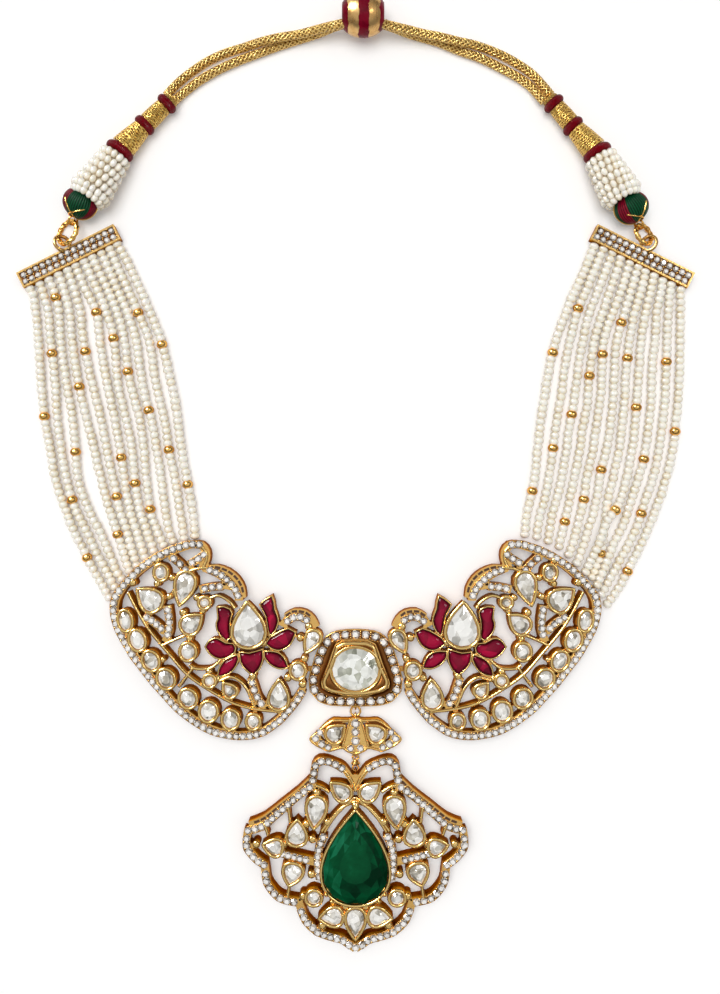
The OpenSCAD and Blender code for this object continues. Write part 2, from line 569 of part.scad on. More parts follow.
// One cone of gold thread from the ring at a to the ring at b, cut flat along that ring's own plane.
module winding(a, b, c, d0, d1) {
    start = ring_t / 2 + bind_gap;
    difference() {
        from_to(a, b)
            translate([0, 0, start])
                cylinder(h = norm(b - a) - start, d1 = d0, d2 = d1, $fn = round_sides);
        from_to(b, c) translate([0, 0, -start]) cylinder(h = 3 * start, d = 2 * d1, $fn = round_sides);
    }
}

module gold_winding(stops) {
    mid_d = wind_top_d + 0.2 * (wind_low_d - wind_top_d);
    color(GOLD)
        laid() {
            winding(station(stops, 0), station(stops, 1), station(stops, 2), wind_top_d, mid_d);
            winding(station(stops, 1), station(stops, 2), station(stops, 3), mid_d, wind_low_d);
        }
}

// The sleeve is a cone of six rounded rows, hollowed where the wrapped bead seats in it.
module pearl_sleeve(stops) {
    rows = 6;
    a = station(stops, 2);
    b = station(stops, 3);
    start = ring_t / 2 + bind_gap;
    sleeve_l = norm(b - a) - start;
    body = [
        for (i = [0:4 * rows])
            let (s = i / (4 * rows), bulge = sleeve_bulge * abs(sin(180 * rows * s)))
                [(sleeve_top_d + s * (sleeve_low_d - sleeve_top_d)) / 2 - sleeve_bulge + bulge,
                 start + s * sleeve_l]];
    color(PEARL)
        laid()
            difference() {
                from_to(a, b)
                    rotate_extrude($fn = round_sides)
                        polygon(concat([[0, start]], body, [[0, start + sleeve_l]]));
                translate(station(stops, 4)) sphere(d = bead_d + 2 * bind_gap, $fn = round_sides);
            }
}

// The place of the bar's soldered ring, on the left side.
bar_eye = [bar_place.x - bar_eye_out * sin(bar_turn), bar_place.y + bar_eye_out * cos(bar_turn), ring_z];

function bar_eye_at(side) = [-side * abs(bar_eye.x), bar_eye.y, ring_z];

// The eyelet of the wrapped bead, on the line from the bead to the bar's ring.
function bead_eye_at(stops, side) =
    let (bead = station(stops, 4), eye = bar_eye_at(side), v = unit([eye.x - bead.x, eye.y - bead.y]),
         reach = sqrt(pow(bead_d / 2, 2) - pow(bead.z - ring_z, 2)) + eye_r + bind_gap)
        [bead.x + reach * v.x, bead.y + reach * v.y, ring_z];

module wrapped_bead(stops, side) {
    eye = bead_eye_at(stops, side);
    v = bar_eye_at(side) - eye;
    color(GREEN)
        laid() {
            translate(station(stops, 4)) sphere(d = bead_d, $fn = round_sides);
            wire_ring(eye, atan2(v.y, v.x), -40 * side, eye_r + 0.45, eye_wire);
        }
}

module twist_loop(stops, side) {
    a = bead_eye_at(stops, side);
    b = bar_eye_at(side);
    v = b - a;
    color(GOLD) laid() wire_ring((a + b) / 2, atan2(v.y, v.x), 38 * side, norm(v) / 2, loop_wire);
}

// A box with a sunk bed for its two rows of stones and a ring soldered to its upper side.
module spacer_bar(side) {
    color(GOLD)
        laid()
            on_side(side) {
                difference() {
                    translate([bar_place.x, bar_place.y, bar_h / 2])
                        rotate([0, 0, bar_turn]) cube([bar_l, bar_w, bar_h], center = true);
                    translate([bar_place.x, bar_place.y, bar_h])
                        rotate([0, 0, bar_turn])
                            cube([bar_l - 2 * bar_wall, bar_w - 2 * bar_wall, 2 * bar_bed], center = true);
                }
                wire_ring(bar_eye, bar_turn - 90, -38, bar_eye_r, bar_eye_wire);
            }
}

// Everything of a plaque that is soldered into one piece, seen from above.
module plaque_plan() {
    s = plaque_step;
    offset(r = -solder_r, $fn = 8)
        offset(delta = solder_r, chamfer = true) {
            band(curve(steps(PLAQUE_BORDER, s)), border_w);
            for (lobe = PLAQUE_LOBES) band(curve(steps(lobe, s)), border_w);
            for (wall = PLAQUE_WALLS) band(curve(steps(wall, s)), wall_w);
            for (leaf = PLAQUE_LEAVES) band(curve(steps(leaf, s)), border_w);
            for (wire = PLAQUE_WIRES) band(curve(steps(wire, s)), wire_w);
            for (petal = RUBY_PETALS) offset(delta = petal_rim) polygon(steps(petal, s));
            for (row = PLAQUE_STONES) polygon(row_outline(row, s, bezel_w, gem_sides));
            polygon(row_outline(LOTUS_STONE, s, bezel_w, gem_sides));
            for (d = PLAQUE_DOTS) dot(d.x * s, d.y * s, d[2] * s);
        }
}

// A petal, cut back from the gold wall of the stone that it lies against.
module petal_plan(petal, gap) {
    difference() {
        offset(delta = -gap) polygon(steps(petal, plaque_step));
        polygon(row_outline(LOTUS_STONE, plaque_step, bezel_w + gap, gem_sides));
    }
}

// A dumb-bell seen from above: two round heads and the bar between them.
module peg_plan(grow) {
    reach = peg_reach();
    for (x = [-reach, reach]) translate([x, 0]) circle(d = peg_d + 2 * grow, $fn = round_sides);
    square([2 * reach, peg_d / 2 + 2 * grow], center = true);
}

// The hidden link's heads lie under the last rim stone of the plaque and inside the centre plaque.
function peg_reach() = 9.8 * plaque_step + side_gap / 2;

module peg_pocket() {
    translate([0, 0, -bond]) linear_extrude(peg_t + 2 * peg_gap + bond) on_peg() peg_plan(peg_gap);
}

module on_peg() {
    x = plaque_x + 198 * plaque_step + peg_reach();
    translate([x, plaque_y + 80 * plaque_step]) children();
}

module plaque_frame(side) {
    s = plaque_step;
    color(GOLD)
        laid()
            on_side(side) {
                difference() {
                    translate([plaque_x, plaque_y, 0]) linear_extrude(frame_h) plaque_plan();
                    translate([plaque_x, plaque_y, seat_z])
                        linear_extrude(seat_d + bond) {
                            seats(concat(PLAQUE_STONES, [LOTUS_STONE]), s);
                            for (petal = RUBY_PETALS) petal_plan(petal, 0);
                        }
                    peg_pocket();
                }
                translate([plaque_x, plaque_y, 0]) {
                    bezels(PLAQUE_STONES, s, frame_h - bond, bezel_z);
                    bezels([LOTUS_STONE], s, frame_h - bond, bezel_z + bezel_rise);
                }
            }
}

module plaque_stones(side) {
    color(CRYSTAL)
        laid()
            on_side(side)
                translate([plaque_x, plaque_y, 0])
                    for (row = PLAQUE_STONES)
                        gem(row, plaque_step, seat_z + stone_gap, bezel_z - stone_gap, table_z);
}

module lotus_stone(side) {
    color(CRYSTAL)
        laid()
            on_side(side)
                translate([plaque_x, plaque_y, 0])
                    gem(LOTUS_STONE, plaque_step, seat_z + stone_gap, bezel_z + bezel_rise - stone_gap,
                        table_z + bezel_rise);
}

module ruby_petals(side) {
    color(RUBY)
        laid()
            on_side(side)
                translate([plaque_x, plaque_y, seat_z + stone_gap])
                    for (petal = RUBY_PETALS)
                        linear_extrude(seat_d - stone_gap + stone_rise) petal_plan(petal, stone_gap);
}

module centre_setting() {
    s = centre_step;
    outline = curve(steps(CENTRE_OUTLINE, s));
    cushion = mirrored(steps(CUSHION_OUTLINE, s));
    mid = s * [CENTRE_STONE.x, CENTRE_STONE.y];
    top = [for (q = cushion) mid + CUSHION_TOP_SHARE * (q - mid)];
    color(GOLD)
        laid()
            difference() {
                union() {
                    translate([0, centre_y, 0])
                        difference() {
                            union() {
                                linear_extrude(centre_h) polygon(mirrored(outline));
                                loft([
                                    at_height(reversed(cushion), centre_h - bond),
                                    at_height(reversed(top), centre_h + cushion_rise)]);
                            }
                            translate([0, 0, centre_h])
                                linear_extrude(2 * cushion_rise) seats([CENTRE_STONE], s, 20);
                            for (c = small_places())
                                translate([c.x, c.y, centre_h - small_d / 4])
                                    cylinder(h = small_d, d = small_d, $fn = 16);
                        }
                    wire_ring([0, centre_y - eye_out, ring_z], 90, 90, eye_r, eye_wire);
                }
                for (side = [-1, 1]) on_side(side) peg_pocket();
            }
}

// Places of the centre plaque's small stones, evenly round its border.
function small_places() =
    let (p = mirrored(curve(steps(CENTRE_OUTLINE, centre_step))), c = centre_step * [0, 36],
         ring = [for (i = [0:len(p)]) let (q = p[i % len(p)]) q - 1.05 * border_w / 2 * unit(q - c)],
         v = lengths(ring), l = total(v, len(v)))
        [for (i = [0:CENTRE_SMALL_COUNT - 1]) along(ring, l * i / CENTRE_SMALL_COUNT, v)];

module centre_stone() {
    z = centre_h + cushion_rise;
    color(CRYSTAL)
        laid()
            translate([0, centre_y, 0])
                gem(CENTRE_STONE, centre_step, centre_h + stone_gap, z - stone_gap, z + 2 * stone_rise, 20);
}

module centre_small_stones() {
    z = centre_h - small_d / 4 + stone_gap;
    color(CRYSTAL)
        laid()
            translate([0, centre_y, 0])
                for (c = small_places())
                    gem([c.x, c.y, small_d, small_d, 0, 0], 1, z, centre_h + inset,
                        centre_h + stone_rise, 8);
}

module side_link(side) {
    color(GOLD)
        laid()
            on_side(side) translate([0, 0, peg_gap]) linear_extrude(peg_t) on_peg() peg_plan(0);
}

module bail_ring() {
    y = centre_y - eye_out - bail_r;
    color(GOLD) laid() wire_ring([0, y, ring_z], 0, 0, bail_r, link_wire);
}

module bow_plan() {
    s = bow_step;
    offset(r = -solder_r, $fn = 8)
        offset(delta = solder_r, chamfer = true) {
            polygon(mirrored(curve(steps(BOW_LEAF, s))));
            for (side = [-1, 1])
                on_side(side) {
                    polygon(steps(BOW_TIP, s));
                    for (wire = BOW_WIRES) band(curve(steps(wire, s)), wire_w);
                    polygon(row_outline(BOW_STONE, s, bezel_w, gem_sides));
                }
        }
}

module bow_setting() {
    s = bow_step;
    color(GOLD)
        laid() {
            translate([0, bow_y, 0]) {
                difference() {
                    linear_extrude(bow_h) bow_plan();
                    translate([0, 0, bow_h - seat_d])
                        linear_extrude(seat_d + bond)
                            for (side = [-1, 1]) on_side(side) seats([BOW_STONE], s);
                }
                for (side = [-1, 1]) on_side(side) bezels([BOW_STONE], s, bow_h - bond, bow_h + bezel_rise);
            }
            wire_ring([0, bow_top + eye_out, ring_z], 90, 90, eye_r, eye_wire);
            wire_ring([0, bow_y - eye_out, ring_z], 90, 90, eye_r, eye_wire);
        }
}

module bow_stones() {
    z = bow_h + bezel_rise;
    color(CRYSTAL)
        laid()
            translate([0, bow_y, 0])
                for (side = [-1, 1])
                    on_side(side)
                        gem(BOW_STONE, bow_step, bow_h - seat_d + stone_gap, z - stone_gap, z + stone_rise);
}

// A ring through the bow's eyelet, a bell and a ring through the drop's eyelet, in one piece.
module drop_link() {
    color(GOLD)
        laid() {
            wire_ring([0, hook_y - hook_r, ring_z], 0, 0, hook_r, link_wire);
            translate([0, bell_y, ring_z])
                rotate([90, 0, 0])
                    rotate_extrude($fn = round_sides)
                        polygon([[0, 0], [bell_d / 5, 0], [bell_d / 3, bell_l / 3],
                                 [bell_d / 2, 3 * bell_l / 4], [bell_d / 3, bell_l], [0, bell_l]]);
            wire_ring([0, drop_eye_y + hook_r, ring_z], 0, 0, hook_r, link_wire);
        }
}

module drop_plan() {
    s = drop_step;
    offset(r = -solder_r, $fn = 8)
        offset(delta = solder_r, chamfer = true) {
            polygon(row_outline(EMERALD_STONE, s, bezel_w, 32));
            polygon(row_outline(DROP_TIP_STONE, s, bezel_w, gem_sides));
            for (side = [-1, 1])
                on_side(side) {
                    band(curve(steps(DROP_SCROLL, s)), 0.8 * border_w);
                    band(curve(steps(DROP_WALL, s)), wall_w);
                    for (p = DROP_BANDS) band(curve(steps(p, s)), border_w);
                    for (p = DROP_LEAVES) band(curve(steps(p, s)), border_w);
                    for (p = DROP_WIRES) band(curve(steps(p, s)), wire_w);
                    for (row = DROP_STONES) polygon(row_outline(row, s, bezel_w, gem_sides));
                    for (d = DROP_DOTS) dot(d.x * s, d.y * s, d[2] * s);
                }
        }
}

module claw(x, y) {
    claw_z = bezel_z + emerald_rise / 2;
    translate([x, y, frame_h - bond]) cylinder(h = claw_z - frame_h, r = 0.45, $fn = 16);
    translate([x, y, claw_z - bond]) sphere(r = 0.55, $fn = 16);
}

module drop_frame() {
    s = drop_step;
    color(GOLD)
        laid() {
            translate([0, drop_y, 0]) {
                difference() {
                    linear_extrude(frame_h) drop_plan();
                    translate([0, 0, seat_z])
                        linear_extrude(seat_d + bond) {
                            seats([EMERALD_STONE], s, 32);
                            seats([DROP_TIP_STONE], s);
                            for (side = [-1, 1]) on_side(side) seats(DROP_STONES, s);
                        }
                }
                bezels([EMERALD_STONE], s, frame_h - bond, bezel_z, 32);
                bezels([DROP_TIP_STONE], s, frame_h - bond, bezel_z);
                for (side = [-1, 1]) on_side(side) bezels(DROP_STONES, s, frame_h - bond, bezel_z);
                for (side = [-1, 1], c = DROP_CLAWS) on_side(side) claw(c.x * s, c.y * s);
                claw(0, 146.5 * s);
            }
            wire_ring([0, drop_eye_y, ring_z], 90, 90, eye_r, eye_wire);
        }
}

module drop_stones() {
    color(CRYSTAL)
        laid()
            translate([0, drop_y, 0]) {
                gem(DROP_TIP_STONE, drop_step, seat_z + stone_gap, bezel_z - stone_gap, table_z);
                for (side = [-1, 1], row = DROP_STONES)
                    on_side(side) gem(row, drop_step, seat_z + stone_gap, bezel_z - stone_gap, table_z);
            }
}

module emerald() {
    mid = drop_step * [EMERALD_STONE.x, EMERALD_STONE.y - 8];
    wide = row_outline(EMERALD_STONE, drop_step, -stone_gap, 32);
    color(GREEN)
        laid()
            translate([0, drop_y, 0])
                loft(concat(
                    [at_height(wide, seat_z + stone_gap)],
                    [for (r = EMERALD_RISE)
                        at_height([for (q = wide) mid + r.x * (q - mid)], bezel_z + r.y * emerald_rise)]));
}

for (i = [1:11])
    string(STRINGS_LEFT[i - 1]);
for (i = [1:11])
    string(STRINGS_RIGHT[i - 1]);
back_cord(CORD_OUTER);  // back_cord_outer
back_cord(CORD_INNER);  // back_cord_inner
slider_bead();
thread_rings(BINDING_LEFT);  // thread_rings_left
thread_rings(BINDING_RIGHT);  // thread_rings_right
gold_winding(BINDING_LEFT);  // gold_winding_left
gold_winding(BINDING_RIGHT);  // gold_winding_right
pearl_sleeve(BINDING_LEFT);  // pearl_sleeve_left
pearl_sleeve(BINDING_RIGHT);  // pearl_sleeve_right
wrapped_bead(BINDING_LEFT, 1);  // wrapped_bead_left
wrapped_bead(BINDING_RIGHT, -1);  // wrapped_bead_right
twist_loop(BINDING_LEFT, 1);  // twist_loop_left
twist_loop(BINDING_RIGHT, -1);  // twist_loop_right
spacer_bar(-1);  // spacer_bar_left
spacer_bar(1);  // spacer_bar_right
plaque_frame(-1);  // plaque_frame_left
plaque_frame(1);  // plaque_frame_right
plaque_stones(-1);  // plaque_stones_left
plaque_stones(1);  // plaque_stones_right
lotus_stone(-1);  // lotus_stone_left
lotus_stone(1);  // lotus_stone_right
ruby_petals(-1);  // ruby_petals_left
ruby_petals(1);  // ruby_petals_right
centre_setting();
centre_stone();
centre_small_stones();
side_link(-1);  // side_link_left
side_link(1);  // side_link_right
bail_ring();
bow_setting();
bow_stones();
drop_link();
drop_frame();
drop_stones();
emerald();
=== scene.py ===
import math
import random

import bmesh
import bpy
import numpy as np
from mathutils import Matrix, Vector


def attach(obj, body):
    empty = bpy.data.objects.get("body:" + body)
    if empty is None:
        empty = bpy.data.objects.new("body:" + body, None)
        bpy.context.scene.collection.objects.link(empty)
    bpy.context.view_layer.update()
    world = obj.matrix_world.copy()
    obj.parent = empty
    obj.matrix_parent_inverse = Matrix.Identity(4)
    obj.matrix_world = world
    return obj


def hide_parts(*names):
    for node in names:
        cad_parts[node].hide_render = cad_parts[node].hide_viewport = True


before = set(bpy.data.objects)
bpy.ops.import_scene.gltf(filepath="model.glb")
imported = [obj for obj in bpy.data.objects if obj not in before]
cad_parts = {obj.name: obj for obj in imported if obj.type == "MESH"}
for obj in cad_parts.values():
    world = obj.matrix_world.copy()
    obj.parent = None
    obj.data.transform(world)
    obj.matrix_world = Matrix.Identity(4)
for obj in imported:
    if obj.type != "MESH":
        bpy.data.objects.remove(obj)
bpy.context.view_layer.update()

MM = 0.001
TURN = 2 * math.pi
UP = Vector((0, 0, 1))
FLAT = (0, 0, 0)
# The frame lies this much lower along y, in mm, than part.scad draws it.
SHIFT_Y = 0.0723

# The photograph's view, in mm: half the picture's height, and how far below the lens that is measured.
SENSOR, HALF_VIEW, VIEW_DEPTH = 36, 124.25, 292
CAMERA_PLACE = (1.125, 6.5 - SHIFT_Y, 296)
# Columns: name, place and size in mm, power.
LAMPS = (
    ("window", (-400, 420, 450), 330, 6.6),
    ("fill", (330, 160, 560), 150, 0.4),
)
# The sky from the horizon to straight above. Columns: height, level.
SKY = ((0.0, 0.04), (0.3, 0.07), (0.55, 0.35), (0.74, 1.25), (0.86, 0.5), (0.955, 1.1), (1.0, 1.3))


def add_object(name, data):
    """A new object in the scene."""
    thing = bpy.data.objects.new(name, data)
    bpy.context.collection.objects.link(thing)
    return thing


def make_camera():
    """The photograph's camera, straight above the table."""
    lens = bpy.data.cameras.new("overhead")
    lens.sensor_width = SENSOR
    lens.lens = SENSOR / 2 * VIEW_DEPTH / HALF_VIEW
    lens.clip_start, lens.clip_end = 0.01, 20
    overhead = add_object("overhead", lens)
    overhead.location = Vector(CAMERA_PLACE) * MM
    bpy.context.scene.camera = overhead


def aim(name, light, place):
    """A light at a place in mm, turned to the middle of the table."""
    lamp = add_object(name, light)
    lamp.location = Vector(place) * MM
    lamp.rotation_euler = (-Vector(place)).to_track_quat("-Z", "Y").to_euler()
    return lamp


def make_lights():
    """Two soft discs that only reflections show, and a wide soft light that reflections don't show."""
    for name, place, size, power in LAMPS:
        light = bpy.data.lights.new(name, "AREA")
        light.shape = "DISK"
        light.size = size * MM
        light.energy = power
        aim(name, light, place).visible_diffuse = False
    soft = bpy.data.lights.new("overhead_soft", "SUN")
    soft.energy = 1.8
    soft.angle = math.radians(40)
    aim("overhead_soft", soft, (-60, 80, 600)).visible_glossy = False


def set_stops(ramp, stops):
    """Gives a ramp node its stops of (place, colour)."""
    bar = ramp.color_ramp.elements
    while len(bar) < len(stops):
        bar.new(0.5)
    for mark, (place, colour) in zip(bar, stops):
        mark.position = place
        mark.color = (*colour, 1)


def make_sky():
    """A grey sky with a bright band half way up and light straight above."""
    world = bpy.data.worlds.new("studio")
    bpy.context.scene.world = world
    world.use_nodes = True
    tree = world.node_tree
    way = tree.nodes.new("ShaderNodeTexCoord")
    split = tree.nodes.new("ShaderNodeSeparateXYZ")
    ramp = tree.nodes.new("ShaderNodeValToRGB")
    background = tree.nodes["Background"]
    set_stops(ramp, [(height, (level, level, level)) for height, level in SKY])
    tree.links.new(way.outputs["Generated"], split.inputs[0])
    tree.links.new(split.outputs["Z"], ramp.inputs["Fac"])
    tree.links.new(ramp.outputs["Color"], background.inputs["Color"])
    background.inputs["Strength"].default_value = 0.62
    bpy.context.scene.view_settings.view_transform = "Standard"


# Shader maths
class Value:
    """A shader socket that takes + - * and / with numbers or other values, on either side."""

    def __init__(self, finish, socket):
        self.finish, self.socket = finish, socket

    def _maths(self, operation, first, second):
        return self.finish.node("ShaderNodeMath", {"operation": operation}, {0: first, 1: second})

    def __add__(self, other):
        return self._maths("ADD", self, other)

    def __sub__(self, other):
        return self._maths("SUBTRACT", self, other)

    def __rsub__(self, other):
        return self._maths("SUBTRACT", other, self)

    def __mul__(self, other):
        return self._maths("MULTIPLY", self, other)

    def __truediv__(self, other):
        return self._maths("DIVIDE", self, other)

    def __rtruediv__(self, other):
        return self._maths("DIVIDE", other, self)

    __radd__, __rmul__ = __add__, __mul__


class Finish:
    """A material built from expressions; node() makes every node."""

    def __init__(self, name, **fixed):
        self.material = bpy.data.materials.new(name)
        self.material.use_nodes = True
        self.tree = self.material.node_tree
        self.skin = self.tree.nodes["Principled BSDF"]
        for socket, value in fixed.items():
            self.skin.inputs[socket.replace("_", " ")].default_value = value

    def node(self, kind, settings, inputs, output=0):
        """Any node: its settings come first, then the values or links of its sockets."""
        made = self.tree.nodes.new(kind)
        for key, value in settings.items():
            if key == "stops":
                set_stops(made, value)
            else:
                setattr(made, key, value)
        for key, value in inputs.items():
            if isinstance(value, Value):
                self.tree.links.new(value.socket, made.inputs[key])
            else:
                made.inputs[key].default_value = value
        return Value(self, made.outputs[output])

    def ramp(self, factor, *stops):
        return self.node("ShaderNodeValToRGB", {"stops": stops}, {"Fac": factor}, "Color")

    def mix(self, factor, first, second):
        """A colour between two others, each of them a value or (red, green, blue)."""
        ends = [end if isinstance(end, Value) else (*end, 1) for end in (first, second)]
        return self.node("ShaderNodeMix", {"data_type": "RGBA"}, {0: factor, 6: ends[0], 7: ends[1]}, 2)

    def place(self):
        return self.node("ShaderNodeTexCoord", {}, {}, "Object")

    def axis(self, vector, which):
        return self.node("ShaderNodeSeparateXYZ", {}, {0: vector}, which)

    def noise(self, scale, detail=3.0):
        inputs = {"Vector": self.place(), "Scale": scale, "Detail": detail}
        return self.node("ShaderNodeTexNoise", {}, inputs)

    def cells(self, scale, output="Distance"):
        return self.node("ShaderNodeTexVoronoi", {}, {"Vector": self.place(), "Scale": scale}, output)

    def flakes(self, scale):
        """One level for each cell."""
        return self.axis(self.cells(scale, "Color"), 0)

    def clamp(self, value):
        return self.node("ShaderNodeClamp", {}, {0: value})

    def wave(self, angle):
        """A sine between 0 and 1."""
        return self.node("ShaderNodeMath", {"operation": "SINE"}, {0: angle}) * 0.5 + 0.5

    def greater(self, first, second):
        return self.node("ShaderNodeMath", {"operation": "MAXIMUM"}, {0: first, 1: second})

    def facing(self):
        """1 where the surface looks straight up, 0 where it is upright."""
        return self.axis(self.node("ShaderNodeNewGeometry", {}, {}, "Normal"), 2)

    def attribute(self, name):
        return self.node("ShaderNodeAttribute", {"attribute_name": name}, {}, "Fac")

    def uv(self, which):
        return self.axis(self.node("ShaderNodeUVMap", {}, {}), which)

    def give(self, socket, value):
        self.tree.links.new(value.socket, self.skin.inputs[socket])

    def relief(self, height, depth, strength=1.0):
        inputs = {"Height": height, "Distance": depth, "Strength": strength}
        self.give("Normal", self.node("ShaderNodeBump", {}, inputs))


# Finishes
def gold_finish(name, bright, shaded_colour, low, high, rough):
    """Polished gold with painted shade: it darkens from one height in mm down to another, standing in for
    shade in its recesses.
    """
    f = Finish(name, Metallic=1.0, Specular_Tint=(0.85, 0.42, 0.12, 1))
    z = f.axis(f.place(), 2) * (1 / MM)
    # Painted shade: lower surfaces get darker and rougher, mixed with random streaks.
    painted_depth_shade = f.clamp((high - z) / (high - low))
    streak = f.noise(900, 4)
    shade = f.clamp(painted_depth_shade * 0.9 + streak * 0.3 - 0.12)
    f.give("Base Color", f.mix(shade, bright, shaded_colour))
    f.give("Roughness", streak * 0.16 + rough + painted_depth_shade * 0.14)
    f.relief(f.noise(1600, 2), 0.00005)
    return f.material


def stone_finish(name, pale, mid, dark, scale, lean):
    """Uncut foiled crystal: flakes of grey and white, each leaning its own way; their greys and whites are
    partly painted reflections of facets, partly the stone's own veins.
    """
    f = Finish(name, Roughness=0.08, Specular_IOR_Level=0.7)
    flake = f.flakes(scale)
    vein = f.noise(scale * 0.6, 4)
    # Partly painted reflection: each flake's own grey or white level, mixed with the stone's veins.
    tone = f.clamp(flake * 0.7 + vein * 0.6 - 0.22)
    f.give("Base Color", f.ramp(tone, (0.0, dark), (0.22, mid), (0.5, pale), (1.0, pale)))
    f.give("Metallic", f.clamp(0.75 - flake * 0.6))
    f.relief(f.cells(scale * 0.8), 0.0004, lean)
    return f.material


def small_stone_finish():
    """Small cut stones: each facet has its own painted brightness, standing in for its reflections, and each
    stone its own tint.
    """
    f = Finish("small_stones", Roughness=0.1, Specular_IOR_Level=0.8)
    tint = f.attribute("tint")
    tone = f.clamp(f.attribute("facet") * 0.75 + tint * 0.2 + f.noise(1700, 2) * 0.7 - 0.4)
    dark, mid, pale = (0.07, 0.05, 0.035), (0.42, 0.37, 0.31), (0.97, 0.95, 0.92)
    f.give("Base Color", f.ramp(tone, (0.0, dark), (0.34, mid), (0.7, pale)))
    f.give("Metallic", f.clamp(0.5 - tint * 0.3))
    return f.material


def ruby_finish():
    """Deep red glass with painted light: brightest where it looks up and darker on its steep sides."""
    f = Finish("ruby", Roughness=0.06, Specular_IOR_Level=0.0, Coat_Weight=0.45)
    # Painted light: the facing term lightens the tops and darkens the steep sides.
    tone = f.clamp(f.flakes(300) * 0.45 + f.noise(150, 3) * 0.9 + f.facing() * 1.6 - 1.75)
    dark, body, light = (0.06, 0.0, 0.006), (0.24, 0.0, 0.024), (0.5, 0.0, 0.045)
    f.give("Base Color", f.ramp(tone, (0.0, dark), (0.45, body), (0.9, light)))
    f.relief(f.noise(420, 2), 0.00012)
    return f.material


def emerald_finish():
    """Deep green glass with clouds inside: each facet has its own painted brightness, lighter towards the
    upper left as painted light.
    """
    f = Finish("emerald", Roughness=0.05, Specular_IOR_Level=0.07)
    tone = f.clamp(f.attribute("tint") * 0.7 + f.noise(170, 5) * 0.6 + f.noise(600, 3) * 0.25 - 0.42)
    dark, body, light = (0.0, 0.018, 0.006), (0.001, 0.07, 0.023), (0.02, 0.26, 0.13)
    f.give("Base Color", f.ramp(tone, (0.0, dark), (0.4, body), (1.0, light)))
    return f.material


def pearl_finish():
    """Creamy pearl, darker and more golden at its sides as painted shade."""
    f = Finish(
        "pearl",
        Subsurface_Weight=0.15,
        Subsurface_Scale=0.0006,
        Subsurface_Radius=(1.0, 0.8, 0.55),
        Specular_IOR_Level=0.6,
        Coat_Weight=1.0,
    )
    cloud = f.noise(1500, 3)
    # Painted shade: sides that turn away from straight up are darker and more golden.
    tone = f.clamp(f.attribute("tint") * 0.3 + cloud * 0.3 + f.facing() * 0.55 - 0.1)
    side, body, light = (0.56, 0.4, 0.22), (0.9, 0.79, 0.58), (0.99, 0.95, 0.85)
    f.give("Base Color", f.ramp(tone, (0.0, side), (0.32, body), (0.65, light)))
    f.give("Roughness", cloud * 0.12 + 0.14)
    return f.material


def thread_finish(name, main, dark, turns, along=1):
    """Wound thread: fine ridges across the turns, from the piece's own map, with painted shade in the
    grooves between them.
    """
    f = Finish(name, Specular_IOR_Level=0.1)
    ridge = f.wave(f.uv(along) * (turns * TURN))
    fuzz = f.noise(1800, 4)
    # Painted shade in the grooves between the ridges, mixed with the thread's random fuzz.
    tone = f.clamp(ridge * 0.55 + fuzz * 0.9 - 0.25)
    f.give("Base Color", f.mix(tone, dark, main))
    f.give("Roughness", 0.34 - ridge * 0.14)
    f.relief(ridge + fuzz * 0.3, 0.00012)
    return f.material


def zari_finish():
    """Gold thread wound round and crossed, with the gaps between threads painted dark brown as shade."""
    f = Finish("gold_thread", Specular_IOR_Level=0.5)
    u, v = f.uv(0), f.uv(1)
    wander = f.noise(330, 3) * 3.4
    wound = f.wave((v * 11 + u * 3 + wander) * TURN)
    cross = f.wave((v * 9 - u * 11 + wander * 1.7) * TURN)
    weave = f.greater(wound, cross * 0.8)
    fleck = f.noise(2100, 3)
    # Painted shade: low parts of the weave take the dark brown gap colour.
    tone = f.clamp(weave * 1.1 + fleck * 1.6 - 1.05)
    gap_shade, body, light = (0.2, 0.06, 0.004), (0.74, 0.34, 0.025), (1.0, 0.72, 0.2)
    f.give("Base Color", f.ramp(tone, (0.0, gap_shade), (0.3, body), (0.75, light)))
    f.give("Metallic", f.clamp(tone * 0.4 + 0.4))
    f.give("Roughness", 0.4 - tone * 0.16)
    f.relief(weave + fleck * 0.6, 0.00025)
    return f.material


def braid_finish():
    """Braided gold cord: two crossing sets of strands, with painted shade in the gaps between them."""
    f = Finish("gold_braid", Specular_IOR_Level=0.5)
    u, v = f.uv(0), f.uv(1)
    stray = f.noise(800, 2) * 0.8
    lean = f.wave((v * 1.4 + u * 6 + stray) * TURN)
    cross = f.wave((v * 1.4 - u * 6 - stray) * TURN)
    weave = f.greater(lean, cross)
    fleck = f.noise(2500, 3)
    # Painted shade: low parts of the weave take the dark brown gap colour.
    tone = f.clamp(weave * 0.9 + fleck * 1.4 - 0.78)
    gap_shade, body, light = (0.17, 0.06, 0.008), (0.72, 0.36, 0.05), (1.0, 0.74, 0.27)
    f.give("Base Color", f.ramp(tone, (0.0, gap_shade), (0.4, body), (0.85, light)))
    f.give("Metallic", f.clamp(tone * 0.5 + 0.4))
    f.give("Roughness", 0.45 - tone * 0.2)
    f.relief(weave + fleck * 0.5, 0.0004)
    return f.material


